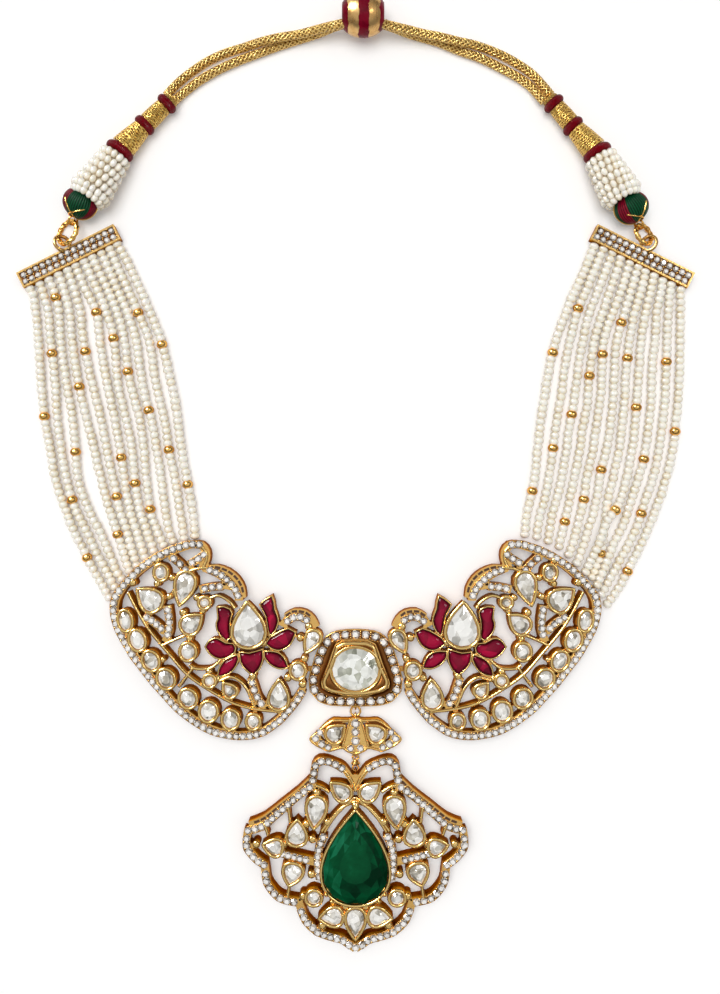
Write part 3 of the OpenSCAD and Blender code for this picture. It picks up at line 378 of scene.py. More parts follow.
def bead_thread_finish():
    """Green thread with bands of red, wrapped from pole to pole, with painted shade between the wraps."""
    f = Finish("bead_thread", Specular_IOR_Level=0.12)
    u = f.uv(0)
    ridge = f.wave(u * (44 * TURN) + f.noise(300, 2) * 4)
    red = f.clamp((f.wave(u * (3 * TURN) + 0.6) - 0.72) * 9)
    # Painted shade between the wraps, mixed with random fuzz; the red bands are the thread's own colour.
    tone = f.clamp(ridge * 0.7 + f.noise(2600, 4) * 0.9 - 0.4)
    green = f.mix(tone, (0.0, 0.01, 0.004), (0.004, 0.105, 0.036))
    wine = f.mix(tone, (0.05, 0.0, 0.004), (0.4, 0.003, 0.03))
    f.give("Base Color", f.mix(red, green, wine))
    f.give("Roughness", 0.6 - ridge * 0.2)
    f.relief(ridge, 0.00012)
    return f.material


def slider_finish():
    """Worn maroon enamel with ragged gold bands across the cords."""
    f = Finish("slider_enamel", Specular_IOR_Level=0.12)
    x = f.axis(f.place(), 0) * (1 / MM)
    band = f.wave((x + f.noise(520, 4) * 1.5 + 1.025) * (TURN / 5.1))
    golden = f.clamp((band - 0.42) * 14)
    worn = f.noise(420, 4)
    wine = f.mix(worn, (0.06, 0.0, 0.005), (0.3, 0.001, 0.02))
    bright = f.mix(f.clamp(worn * 1.6 - 0.3), (0.5, 0.24, 0.06), (0.88, 0.6, 0.26))
    f.give("Base Color", f.mix(golden, wine, bright))
    f.give("Metallic", golden * 0.75)
    f.give("Roughness", worn * 0.25 + 0.16)
    f.relief(golden + worn * 0.5, 0.0002)
    return f.material


def plain_finish(name, scale, detail, dark, pale, **fixed):
    """A matt finish with a fine grain."""
    f = Finish(name, **fixed)
    f.give("Base Color", f.mix(f.noise(scale, detail), dark, pale))
    return f.material


def floor_finish():
    """White paper that glows a little, as the photograph's background does."""
    dark, pale = (0.87, 0.864, 0.857), (0.91, 0.904, 0.897)
    glow = {"Emission_Strength": 0.15, "Emission_Color": (1.0, 0.995, 0.99, 1)}
    return plain_finish("paper", 300, 5, dark, pale, Roughness=0.9, Specular_IOR_Level=0.1, **glow)


# Columns: name, bright and painted-shade colour, heights in mm of full and no painted shade, roughness.
GOLDS = (
    ("polished_gold", (0.92, 0.56, 0.17), (0.11, 0.02, 0.002), 3.0, 5.1, 0.17),
    ("polished_low_gold", (0.92, 0.59, 0.19), (0.13, 0.028, 0.003), 1.0, 3.5, 0.17),
    ("polished_bar_gold", (0.72, 0.47, 0.17), (0.13, 0.035, 0.004), 0.8, 3.2, 0.17),
    ("edge_gold", (0.62, 0.35, 0.11), (0.25, 0.07, 0.01), 3.4, 5.3, 0.16),
    ("gold_wire", (0.99, 0.63, 0.2), (0.5, 0.19, 0.03), 0.0, 3.0, 0.14),
    # This row is painted shade, for the dark strips laid in the settings.
    ("shaded_gold", (0.27, 0.115, 0.03), (0.12, 0.035, 0.007), 2.4, 5.4, 0.3),
    ("rim_gold", (0.96, 0.67, 0.25), (0.3, 0.08, 0.01), 3.4, 5.3, 0.1),
)
# Columns: name, pale, middle and dark colour, scale of the flakes, strength of their lean.
CRYSTALS = (
    ("foiled_crystal", (0.96, 0.94, 0.89), (0.76, 0.72, 0.63), (0.42, 0.37, 0.28), 700, 0.55),
    ("lotus_crystal", (0.96, 0.95, 0.91), (0.76, 0.74, 0.68), (0.45, 0.43, 0.38), 420, 0.55),
    ("centre_crystal", (0.93, 0.94, 0.89), (0.66, 0.67, 0.57), (0.3, 0.31, 0.23), 560, 0.3),
)
gold, low_gold, bar_gold, edge_gold, wire_gold, painted_shade_gold, gold_rim = (gold_finish(*row) for row in GOLDS)
crystal, lotus_crystal, centre_crystal = (stone_finish(*row) for row in CRYSTALS)
small_stones, ruby, emerald, pearl = small_stone_finish(), ruby_finish(), emerald_finish(), pearl_finish()
maroon = thread_finish("maroon_thread", (0.3, 0.001, 0.01), (0.08, 0.0, 0.002), 60, 0)
string_thread = thread_finish("string_thread", (0.4, 0.3, 0.18), (0.16, 0.1, 0.05), 40)
sleeve_thread = thread_finish("sleeve_thread", (0.75, 0.66, 0.52), (0.45, 0.34, 0.2), 40)
zari, braid, bead_thread = zari_finish(), braid_finish(), bead_thread_finish()
# Near-black painted shade for the insides of the wall slits.
slit_shade = plain_finish("slit_shade", 900, 3, (0.05, 0.02, 0.01), (0.1, 0.04, 0.015), Roughness=0.8)


# Lines and places, in mm
def on_circle(angle, radius=1.0, height=0.0):
    return Vector((radius * math.cos(angle), radius * math.sin(angle), height))


def beside(line, i, closed):
    """The points before and after a point of a line."""
    if closed:
        return line[i - 1], line[(i + 1) % len(line)]
    return line[max(i - 1, 0)], line[min(i + 1, len(line) - 1)]


def toward(start, end):
    return (end - start).normalized()


def length_of(line):
    return sum((b - a).length for a, b in zip(line, line[1:]))


def bent(a, b, c, d, t):
    """A point between b and c, on a curve that also heeds a and d."""
    return 0.5 * (2 * b + t * (c - a) + t * t * (2 * a - 5 * b + 4 * c - d) + t**3 * (3 * b - a - 3 * c + d))


def smooth_line(points, pieces=6):
    """A rounded line through the points."""
    p = [Vector(q) for q in points]
    line = []
    for i in range(len(p) - 1):
        a, d = p[max(i - 1, 0)], p[min(i + 2, len(p) - 1)]
        line += [bent(a, p[i], p[i + 1], d, j / pieces) for j in range(pieces)]
    return line + [p[-1]]


def rounded(ring, pieces=3):
    """A closed ring with its straight pieces bent into a curve, except beside sharp corners."""
    out = []
    for i in range(len(ring)):
        a, b, c, d = (ring[(i + k) % len(ring)] for k in (-1, 0, 1, 2))
        sharp = (b - a).angle(c - b, 0) > 0.6 or (c - b).angle(d - c, 0) > 0.6
        steps = [j / pieces for j in range(pieces)]
        out += [b.lerp(c, t) if sharp else bent(a, b, c, d, t) for t in steps]
    return out


def grown(ring, by, z):
    """A closed ring moved outwards by a distance, at a height."""
    out = []
    for i, b in enumerate(ring):
        a, c = beside(ring, i, True)
        n1 = Vector((b.y - a.y, a.x - b.x, 0)).normalized()
        n2 = Vector((c.y - b.y, b.x - c.x, 0)).normalized()
        mid = n1 + n2
        q = b + mid.normalized() * (by / max(0.55, mid.length / 2))
        out.append(Vector((q.x, q.y, z)))
    return out


def shifted(path, by, z):
    """A line moved sideways, at another height."""
    out = []
    for i, p in enumerate(path):
        side = toward(*beside(path, i, False)).cross(UP)
        out.append(Vector((p.x + by * side.x, p.y + by * side.y, z)))
    return out


def walk(line, pitch, start=0.0, spare=0.0):
    """Points a pitch apart along a line, with the direction there."""
    found, want, done = [], start, 0.0
    end = length_of(line) - spare
    for a, b in zip(line, line[1:]):
        step = (b - a).length
        while step > 0 and want <= done + step + 1e-9 and want <= end + 1e-9:
            found.append((a.lerp(b, (want - done) / step), toward(a, b)))
            want += pitch
        done += step
    return found


def even_walk(line, pitch):
    """Points evenly spread over a line, from end to end, about a pitch apart."""
    whole = length_of(line)
    count = max(1, round(whole / pitch))
    return walk(line, whole / count * 0.999999)


def turn_to(direction, spin=0.0):
    """The turn that takes Z to a direction."""
    lean = Vector(direction).to_track_quat("Z", "Y")
    return tuple((lean @ Matrix.Rotation(spin, 4, "Z").to_quaternion()).to_euler())


def frame_at(place, direction):
    """Z along a direction, at a place."""
    return Matrix.Translation(Vector(place)) @ Vector(direction).to_track_quat("Z", "Y").to_matrix().to_4x4()


def ring_path(matrix, radius, count):
    return [matrix @ on_circle(TURN * i / count, radius) for i in range(count)]


# Meshes and pieces
def new_piece(name, mesh, material, solids=(), smooth=True):
    """A piece on the necklace's one body, in place of the named solids."""
    piece = add_object(name, mesh)
    mesh.materials.clear()
    mesh.materials.append(material)
    mesh.polygons.foreach_set("use_smooth", [smooth] * len(mesh.polygons))
    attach(piece, "root")
    if solids:
        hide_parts(*solids)
    return piece


def mesh_of(shape, name):
    """A mesh from a bmesh, which is used up."""
    mesh = bpy.data.meshes.new(name)
    shape.to_mesh(mesh)
    shape.free()
    return mesh


class Skin:
    """Collects faces with a map, and becomes one mesh."""

    def __init__(self):
        self.verts, self.faces, self.maps = [], [], []

    def grid(self, sides, levels, closed=False, width=1.0, caps=(True, True)):
        """Faces between the rows of corners added last; levels are the map's v at each row."""
        count = len(levels) - int(closed)
        base = len(self.verts) - count * sides
        for i, (v0, v1) in enumerate(zip(levels, levels[1:])):
            row, following = base + i * sides, base + (i + 1) % count * sides
            for j in range(sides):
                k = (j + 1) % sides
                u0, u1 = width * j / sides, width * (j + 1) / sides
                self.faces.append([row + j, row + k, following + k, following + j])
                self.maps += [(u0, v0), (u1, v0), (u1, v1), (u0, v1)]
        if closed:
            return
        for cap, i, turn in ((caps[0], 0, -1), (caps[1], count - 1, 1)):
            if cap:
                self.faces.append([base + i * sides + j for j in range(sides)][::turn])
                self.maps += [(0, levels[i])] * sides

    def sweep(self, line, radius, sides=8, closed=False, v_scale=1.0, shape=None, up=UP):
        """A tube along a line; shape(u, length) scales the radius at each place."""
        done, levels = 0.0, []
        for i, p in enumerate(line):
            way = toward(*beside(line, i, closed))
            side = up.cross(way).normalized()
            top = way.cross(side)
            if i:
                done += (p - line[i - 1]).length
            levels.append(done * v_scale)
            for j in range(sides):
                a = TURN * j / sides
                r = radius * (shape(j / sides, done) if shape else 1)
                self.verts.append(p + r * (math.cos(a) * side + math.sin(a) * top))
        if closed:
            levels.append((done + (line[0] - line[-1]).length) * v_scale)
        self.grid(sides, levels, closed)

    def extrude(self, line, profile, closed=False):
        """A bar along a line, with a closed profile of (across, up) pairs."""
        for i, p in enumerate(line):
            side = toward(*beside(line, i, closed)).cross(UP).normalized()
            self.verts += [p + x * side + y * UP for x, y in profile]
        self.grid(len(profile), [0.0] * (len(line) + int(closed)), closed, width=0.0)

    def flat_shade_strip(self, line, half, top=0.05, closed=False):
        """A thin strip of this half width along a line, just over the metal, which carries painted shade."""
        self.extrude(line, [(-half, 0.01), (half, 0.01), (half, top), (-half, top)], closed)

    def lathe(self, matrix, outline, sides=48, shape=None):
        """Turns an outline of (radius, height) pairs round Z, then places it."""
        for radius, height in outline:
            for j in range(sides):
                r = radius * (shape(j / sides, height) if shape else 1)
                self.verts.append(matrix @ on_circle(TURN * j / sides, r, height))
        (first, low), (last, high) = outline[0], outline[-1]
        levels = [(height - low) / (high - low) for _, height in outline]
        self.grid(sides, levels, caps=(first > 0, last > 0))

    def mesh(self, name):
        mesh = bpy.data.meshes.new(name)
        mesh.from_pydata([tuple(v * MM) for v in self.verts], [], self.faces)
        layer = mesh.uv_layers.new(name="map")
        layer.data.foreach_set("uv", [c for pair in self.maps for c in pair])
        merged = bmesh.new()
        merged.from_mesh(mesh)
        bmesh.ops.remove_doubles(merged, verts=merged.verts, dist=1e-7)
        bmesh.ops.recalc_face_normals(merged, faces=merged.faces)
        merged.to_mesh(mesh)
        merged.free()
        return mesh

    def piece(self, name, material, slot, solids=(), smooth=True):
        return new_piece(name, self.mesh(name), material, solids, smooth)


def cut_stone_mesh(name, sides=8, table=0.56, crown=0.34):
    """A small round cut stone of diameter 1 with its girdle at z = 0."""
    outline = [(0.38, -0.28), (0.5, -0.03), (0.5, 0.03)]
    outline += [(0.25 + 0.25 * table, 0.6 * crown), (0.5 * table, crown)]
    shape = bmesh.new()
    facet = shape.faces.layers.float.new("facet")
    rings = []
    for i, (radius, height) in enumerate(outline):
        lean = 0.5 if i == 3 else 0
        places = [on_circle(TURN * (j + lean) / sides, radius, height) for j in range(sides)]
        rings.append([shape.verts.new(place) for place in places])
    # Painted reflections: the crown facets get set grey levels, the table is white and the girdle and
    # pavilion dark.
    for i, (low, high) in enumerate(zip(rings, rings[1:])):
        for j in range(sides):
            k = (j + 1) % sides
            side = shape.faces.new([low[j], low[k], high[k], high[j]])
            side[facet] = 0.0 if i < 1 else (0.15, 0.8, 0.5, 0.95)[(j * 3 + i) % 4]
    shape.faces.new(rings[-1])[facet] = 1.0
    shape.faces.new(rings[0][::-1])[facet] = 0.0
    return mesh_of(shape, name)


def ball_mesh(name, segments, rings, squash=1.0):
    """A ball of diameter 1, flattened along z."""
    shape = bmesh.new()
    bmesh.ops.create_uvsphere(shape, u_segments=segments, v_segments=rings, radius=0.5)
    bmesh.ops.scale(shape, vec=(1, 1, squash), verts=shape.verts)
    return mesh_of(shape, name)


def block_mesh(name):
    """A block one long, one wide and one high."""
    shape = bmesh.new()
    bmesh.ops.create_cube(shape, size=1)
    return mesh_of(shape, name)


def setting_tree():
    """Sets one shape on each point, turned and sized by the point's own values."""
    tree = bpy.data.node_groups.new("set_on_points", "GeometryNodeTree")
    for name, way, kind in (
        ("Points", "INPUT", "Geometry"),
        ("Shape", "INPUT", "Object"),
        ("Finish", "INPUT", "Material"),
        ("Size", "INPUT", "Float"),
        ("Pieces", "OUTPUT", "Geometry"),
    ):
        tree.interface.new_socket(name, in_out=way, socket_type="NodeSocket" + kind)
    add = tree.nodes.new
    start, end = add("NodeGroupInput"), add("NodeGroupOutput")
    shape, put = add("GeometryNodeObjectInfo"), add("GeometryNodeInstanceOnPoints")
    real, paint = add("GeometryNodeRealizeInstances"), add("GeometryNodeSetMaterial")
    turn, size = add("GeometryNodeInputNamedAttribute"), add("GeometryNodeInputNamedAttribute")
    for node, name in ((turn, "turn"), (size, "size")):
        node.data_type = "FLOAT_VECTOR"
        node.inputs["Name"].default_value = name
    grow = add("ShaderNodeVectorMath")
    grow.operation = "SCALE"
    for source, output, target, socket in (
        (start, "Points", put, "Points"),
        (start, "Shape", shape, "Object"),
        (shape, "Geometry", put, "Instance"),
        (turn, "Attribute", put, "Rotation"),
        (size, "Attribute", grow, 0),
        (start, "Size", grow, "Scale"),
        (grow, 0, put, "Scale"),
        (put, "Instances", real, "Geometry"),
        (real, "Geometry", paint, "Geometry"),
        (start, "Finish", paint, "Material"),
        (paint, "Geometry", end, "Pieces"),
    ):
        tree.links.new(source.outputs[output], target.inputs[socket])
    return tree


SETTING = setting_tree()
STONE = cut_stone_mesh("small_cut_stone")
PEARL = ball_mesh("seed_pearl", 12, 8, 0.82)
GRAIN = ball_mesh("grain", 8, 6)
GOLD_BALL = ball_mesh("gold_ball", 20, 12, 0.88)
BLOCK = block_mesh("slit")


def set_shapes(name, spots, shape, material, solids=(), smooth=True):
    """spots are (place in mm, turn, size in mm, tint); the result is one plain mesh."""
    mesh = bpy.data.meshes.new(name)
    mesh.from_pydata([tuple(spot[0] * MM) for spot in spots], [], [])
    for key, column in (("turn", 1), ("size", 2)):
        layer = mesh.attributes.new(key, "FLOAT_VECTOR", "POINT")
        layer.data.foreach_set("vector", [c for spot in spots for c in spot[column]])
    layer = mesh.attributes.new("tint", "FLOAT", "POINT")
    layer.data.foreach_set("value", [spot[3] for spot in spots])
    holder, source = add_object(name + "_points", mesh), add_object(name + "_shape", shape)
    modifier = holder.modifiers.new("set", "NODES")
    modifier.node_group = SETTING
    names = {s.name: s.identifier for s in SETTING.interface.items_tree if s.in_out == "INPUT"}
    modifier[names["Shape"]] = source
    modifier[names["Finish"]] = material
    modifier[names["Size"]] = MM
    bpy.context.view_layer.update()
    graph = bpy.context.evaluated_depsgraph_get()
    result = bpy.data.meshes.new_from_object(holder.evaluated_get(graph))
    holder.modifiers.remove(modifier)
    for thing in (holder, source):
        bpy.data.objects.remove(thing)
    for key in ("turn", "size"):
        if key in result.attributes:
            result.attributes.remove(result.attributes[key])
    result.name = name
    return new_piece(name, result, material, solids, smooth)


# Reading the solids
def islands(node):
    """The separate solids of a node, each as a list of merged corners in mm."""
    shape = bmesh.new()
    shape.from_mesh(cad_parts[node].data)
    bmesh.ops.remove_doubles(shape, verts=shape.verts, dist=2e-6)
    seen, found = set(), []
    for v in shape.verts:
        if v.index in seen:
            continue
        group, queue = [], [v]
        seen.add(v.index)
        while queue:
            corner = queue.pop()
            group.append(corner.co / MM)
            for edge in corner.link_edges:
                other = edge.other_vert(corner)
                if other.index not in seen:
                    seen.add(other.index)
                    queue.append(other)
        found.append(group)
    shape.free()
    return found


def middle_of(points):
    return sum(points, Vector()) / len(points)


def outline_of(corners, level):
    """The corners at a height, in order round their middle."""
    ring = [c for c in corners if abs(c.z - level) < 0.02]
    middle = middle_of(ring)
    return sorted(ring, key=lambda c: math.atan2(c.y - middle.y, c.x - middle.x))


def widest_level(corners):
    """The highest of the heights where the solid is widest."""
    spread = {}
    for level in {round(c.z, 2) for c in corners}:
        across = [c.x for c in corners if abs(c.z - level) < 0.02]
        spread[level] = max(across) - min(across)
    widest = max(spread.values())
    return max(level for level in spread if spread[level] > widest - 0.05)


def string_line(node):
    """The middle line of a string's solid, from its rings of eight corners."""
    corners = sorted(islands(node)[0], key=lambda c: -c.y)
    return [middle_of(corners[i : i + 8]) for i in range(0, len(corners) - 7, 8)]


def ring_frame(node):
    """Middle, axis and radius of a ring-shaped solid."""
    corners = np.array([tuple(c) for c in islands(node)[0]])
    middle = corners.mean(0)
    away = corners - middle
    axis = np.linalg.svd(away)[2][2]
    away = away - np.outer(away @ axis, axis)
    return Vector(middle), Vector(axis), float(np.linalg.norm(away, axis=1).mean())


# Both back cords, from the left binding through the sliding bead to the right one.
CORD_OUTER = [
    (-47.4, 107.4, 2.6), (-45.3, 110.4, 1.3), (-41.8, 113.4, 1.2), (-37.3, 116.4, 1.2),
    (-32.7, 118.5, 1.2), (-28.2, 119.9, 1.2), (-23.6, 120.8, 2.7), (-19, 121.6, 3.4),
    (-13.9, 122.4, 3.5), (-9, 123.3, 4.5), (-5.2, 123.8, 5.6), (-1.6, 124.1, 6.25),
    (5.4, 124.1, 6.25), (9.1, 123.6, 5.6), (13.1, 123.1, 4.5), (17.1, 122.4, 3.7),
    (21.1, 121.7, 3.6), (25.7, 120.7, 3.2), (29.3, 120.2, 2.5), (33.4, 119.3, 1.5),
    (37.4, 117.7, 1.2), (41, 115.7, 1.2), (44.3, 113.4, 1.2), (47, 110.6, 1.3), (49, 107.6, 2.4),
]
CORD_INNER = [
    (-45.8, 105.8, 2.4), (-43.8, 108.1, 1.3), (-39.3, 111.6, 1.2), (-34.2, 114.5, 1.2),
    (-29.2, 116.7, 1.2), (-24.1, 118.6, 1.2), (-19.1, 120.4, 1.2), (-14, 122, 1.2),
    (-9.1, 123.3, 1.9), (-5.2, 124.3, 3.3), (-1.6, 124.8, 4), (5.4, 124.8, 4), (9.1, 124.2, 3.3),
    (13.2, 123.2, 1.9), (17.3, 122.3, 1.2), (21.3, 121.1, 1.2), (26.3, 119.1, 1.2),
    (31.4, 117.3, 1.2), (36.4, 114.9, 1.2), (41.5, 112.1, 1.2), (44.5, 109.7, 1.3),
    (47.4, 105.9, 2.4),
]
CORD_D, PLAIT_PITCH, FINE_STEP = 2.2, 1.7, 0.22


def plait(u, s):
    """The cord's surface: two crossing sets of strands."""
    strands = (math.sin(TURN * (s / PLAIT_PITCH + k * 4 * u)) for k in (1, -1))
    return 0.97 + 0.07 * max(strands)


def make_cord(name, route, node):
    """A braided tube along a route, with its middle line and its length in mm."""
    line = smooth_line([(x, y - SHIFT_Y, z) for x, y, z in route], 8)
    fine = []
    for a, b in zip(line, line[1:]):
        n = max(1, round((b - a).length / FINE_STEP))
        fine += [a.lerp(b, i / n) for i in range(n)]
    skin = Skin()
    skin.sweep(fine + [line[-1]], CORD_D / 2, sides=24, v_scale=1 / PLAIT_PITCH, shape=plait)
    return skin.piece(name, braid, "cord", [node]), line, length_of(line)


# The finishes of the CAD solids.
DRESSED = (
    (gold, ("plaque_frame_left", "plaque_frame_right", "drop_frame")),
    (low_gold, ("centre_setting", "bow_setting")),
    (bar_gold, ("spacer_bar_left", "spacer_bar_right")),
    (wire_gold, ("bail_ring", "drop_link", "side_link_left", "side_link_right")),
    (crystal, ("plaque_stones_left", "plaque_stones_right", "drop_stones", "bow_stones")),
    (lotus_crystal, ("lotus_stone_left", "lotus_stone_right")),
    (centre_crystal, ("centre_stone",)),
    (small_stones, ("centre_small_stones",)),
)
# Columns: name, stones, distance from the girdle, wire radius, rise over the girdle, finish.
RIMS = (
    ("plaque_rims", ("plaque_stones_left", "plaque_stones_right"), 0.5, 0.38, -0.02, gold_rim),
    ("lotus_rims", ("lotus_stone_left", "lotus_stone_right"), 0.55, 0.42, -0.02, gold_rim),
    ("drop_rims", ("drop_stones",), 0.5, 0.38, -0.02, gold_rim),
    ("bow_rims", ("bow_stones",), 0.5, 0.36, -0.02, wire_gold),
    ("emerald_rim", ("emerald",), 0.45, 0.4, 0.1, gold_rim),
)


def dress(node, material):
    """Gives a CAD solid its finish."""
    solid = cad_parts[node]
    for place in solid.material_slots:
        place.material = material
    if not solid.material_slots:
        solid.data.materials.append(material)


def stone_rims(name, nodes, out, wire, lift, material):
    """Rounded gold walls round the stones, following each stone's own girdle."""
    skin = Skin()
    for node in nodes:
        for corners in islands(node):
            level = widest_level(corners)
            girdle = grown(outline_of(corners, level), out, level + lift)
            skin.sweep(rounded(girdle, 2), wire, closed=True)
    skin.piece(name, material, "gold")


def make_emerald():
    """The emerald, cut in tiers of flat facets between its girdle and its table."""
    corners = islands("emerald")[0]
    foot, level = min(c.z for c in corners), widest_level(corners)
    top = max(c.z for c in corners)
    rise = top - level
    girdle = [Vector((q.x, q.y, 0)) for q in outline_of(corners, level)[::2]]
    n = len(girdle)
    middle = middle_of(girdle) + Vector((0, -0.6, 0))
    shape = bmesh.new()
    tint = shape.faces.layers.float.new("tint")
    rows = []
    # Columns: share of the girdle, height, turn by a part of a side.
    for share, z, lean in (
        (0.55, foot, 0),
        (1.0, level - 0.15, 0),
        (1.0, level + 0.1, 0),
        (0.88, level + 0.45 * rise, 0.5),
        (0.7, level + 0.82 * rise, 0),
        (0.5, top, 0.5),
    ):
        ring = [girdle[i].lerp(girdle[(i + 1) % n], lean) for i in range(n)]
        spots = [middle + share * (q - middle) + z * UP for q in ring]
        rows.append([shape.verts.new(spot * MM) for spot in spots])
    for k, (a, b) in enumerate(zip(rows, rows[1:])):
        for i in range(n):
            j = (i + 1) % n
            if k in (2, 4):
                faces = [[a[i], a[j], b[i]], [a[j], b[j], b[i]]]
            elif k == 3:
                faces = [[a[i], b[j], b[i]], [a[i], a[j], b[j]]]
            else:
                faces = [[a[i], a[j], b[j], b[i]]]
            for face in faces:
                made = shape.faces.new(face)
                seen = made.calc_center_median() / MM - middle
                # Painted light: facets are lighter towards the upper left, as if lit from there, plus a
                # random part.
                light = 0.4 - 0.045 * seen.x + 0.02 * seen.y
                made[tint] = max(0.0, min(1.0, light + random.uniform(-0.3, 0.3)))
    shape.faces.new(rows[-1])[tint] = 0.45
    shape.faces.new(rows[0][::-1])
    bmesh.ops.recalc_face_normals(shape, faces=shape.faces)
    new_piece("green_stone", mesh_of(shape, "green_stone"), emerald, ["emerald"], smooth=False)


# A petal's pillowed top. Columns: share of the outline, rise above the solid's top.
PILLOW = [(1, -0.06), (0.93, 0.12), (0.82, 0.3), (0.66, 0.44), (0.4, 0.54)]
PILLOW_PEAK, PETAL_RIM_Z = 0.58, 5.06


def make_petals(node, name):
    """Ruby petals with pillowed tops, in a gold rim each."""
    rims, shape = Skin(), bmesh.new()
    for corners in islands(node):
        foot, top = min(c.z for c in corners), max(c.z for c in corners)
        ring = rounded(outline_of(corners, top), 2)
        middle = middle_of(ring)
        rows = []
        for share, z in [(1, foot), (1, top - 0.3)] + [(share, top + rise) for share, rise in PILLOW]:
            rows.append([shape.verts.new((*(middle.lerp(v, share) * MM).xy, z * MM)) for v in ring])
        base, peak = (shape.verts.new((*(middle * MM).xy, z * MM)) for z in (foot, top + PILLOW_PEAK))
        for i in range(len(ring)):
            j = (i + 1) % len(ring)
            for a, b in zip(rows, rows[1:]):
                shape.faces.new([a[i], a[j], b[j], b[i]])
            shape.faces.new([rows[-1][i], rows[-1][j], peak])
            shape.faces.new([rows[0][j], rows[0][i], base])
        rims.sweep(grown(ring, 0.26, PETAL_RIM_Z), 0.22, closed=True)
    bmesh.ops.recalc_face_normals(shape, faces=shape.faces)
    new_piece(name, mesh_of(shape, name), ruby, [node])
    rims.piece(name + "_rims", gold_rim, "gold")


# Each sub-part's own grid. Columns: its origin in mm, its step.
PLAQUE = (-63.8012, -56.8 - SHIFT_Y, 53.2 / 213)
DROP = (0, -107.318 - SHIFT_Y, 0.25)
BOW = (0, -57.794 - SHIFT_Y, 0.25)
CENTRE = (0, -45.8 - SHIFT_Y, 0.24946)
TOP, CENTRE_TOP, BOW_TOP = 5.0, 3.4, 3.6
PITCH = STONE_D = 1.72
SLIT_PITCH, SLIT_SIZE = 1.75, (1.4, 0.6, 0.12)

# Lines of small stones, in the plaque's and the drop's own steps.
PLAQUE_LINES = [
    [
        (100, 205.8), (90, 206.3), (82, 204), (74, 201.5), (66, 198), (57.5, 193.7), (51.7, 190),
        (44, 184.8), (37.5, 179.4), (32, 173.4), (24.5, 165.5), (17, 155.5), (14.3, 147), (14.5, 137),
        (17, 126.5), (21, 117), (28.7, 103.4), (34, 94.5), (41, 85.4), (47.8, 76.5), (55, 67.5),
        (63, 58.5), (71, 49.6), (77, 43.2), (84.7, 36.8), (92.6, 31), (100.6, 25.8), (110.4, 20.7),
        (119.3, 17.8), (130, 15.7), (138, 14.8), (146, 15), (154, 16), (163.5, 19), (169.5, 22.8),
        (176.3, 27.7), (181.3, 31.8), (186.3, 37.3), (192.2, 44.2), (197.2, 50.7), (201.3, 57.5),
    ],
    [(110, 180.5), (118.5, 177.3), (124.5, 173.3), (130.2, 168), (135, 162), (138.3, 155)],
    [(187.5, 129.5), (193, 133), (199.6, 134), (206.7, 130.5)],
    [(47, 133.5), (54, 129), (61.5, 122.5)],
    [(74, 192), (80, 187), (86, 180.5)],
    [(92.5, 188), (98.5, 191.8), (104.5, 196)],
    [(105, 162), (112.5, 163.5), (120, 164)],
    [(68.3, 141), (69.6, 133), (69.7, 124.5), (68.3, 116)],
    [(152.3, 68.5), (154.3, 61), (157.5, 54), (161.5, 47.5)],
]
DROP_LINES = [
    [(42.5, 173), (41.2, 181), (39.5, 188), (34, 191.8), (27, 191.5), (20, 188.8), (13.5, 185)],
    [(45.5, 166), (57, 157.5), (69.5, 146.9), (80, 137.5), (92.5, 127.3), (107, 123)],
    [(108.4, 115), (108.3, 106.3), (104.2, 99.7), (98, 93.2), (91, 88.6)],
    [(89.7, 79.8), (88, 70.5), (82.5, 62), (76.5, 56.3), (68.8, 53), (61, 51.5)],
    [(54, 42.5), (49.5, 33), (43.5, 27.3), (38.5, 22), (30, 18.6), (21.7, 16.2), (13, 13.6), (6.5, 9)],
    [(73, 99.8), (65, 97.6), (57, 95.5), (49.5, 93.7)],
    [(32.2, 116.5), (34.6, 110.5), (37, 102), (37.8, 93), (37.3, 84.2), (36, 77)],
]
# The lone stone at the drop's tip. Columns: x, y in steps, size in mm.
DROP_TIP = (0, 6.5, 1.7)
# The bow's stones on its middle, and those on its right half. Columns: x, y in steps, size in mm.
BOW_MIDDLE = [(0, 30.5, 2.1), (0, 22, 2.1), (0, 13, 2.1)]
BOW_RIGHT = [(5, 5.5, 1.7), (35.6, 21.8, 1.7), (40, 15.6, 1.9), (33.8, 9.8, 1.9), (27.2, 6.6, 1.7)]
# Strips of painted shade in the hollows beside the bow's middle bar and over its pear stones.
BOW_HOLLOWS = [
    [(10.5, 31), (12.5, 24), (14.5, 16), (16, 9)],
    [(13, 31), (20, 31), (26, 28.5), (31, 24)],
]
# Bare outer walls with their rows of slits.
PLAQUE_WALLS = [
    [(109, 182.8), (117, 183.3), (128.2, 179.3), (137.2, 171.8), (142.3, 162.5), (143.5, 155)],
    [(186.5, 135.4), (194.5, 139.3), (205.5, 138), (213, 132)],
]
DROP_WALL = [(47, 171.2), (56.7, 161.8), (74.7, 147.8), (91.2, 135), (104, 130)]
# Each spacer bar: its middle (mirrored for the right one), its lean, the height of its bed.
BAR_PLACE, BAR_TURN, BAR_BED = (-72.1, 67 - SHIFT_Y), math.radians(26.7), 2.5
BAR_STONES, BAR_PITCH, BAR_STONE_D = 15, 1.76, 1.45

stones, grains, low_grains, slits = [], [], [], []
bed_shades, edges, low_edges = Skin(), Skin(), Skin()


def point_on(grid, mirror, x, y, z):
    """A point in a sub-part's own steps, in mm; a mirror of -1 swaps left and right."""
    return Vector((mirror * (grid[0] + x * grid[2]), grid[1] + y * grid[2], z))


def path_on(grid, mirror, line, z):
    return smooth_line([point_on(grid, mirror, x, y, z) for x, y in line], 8)


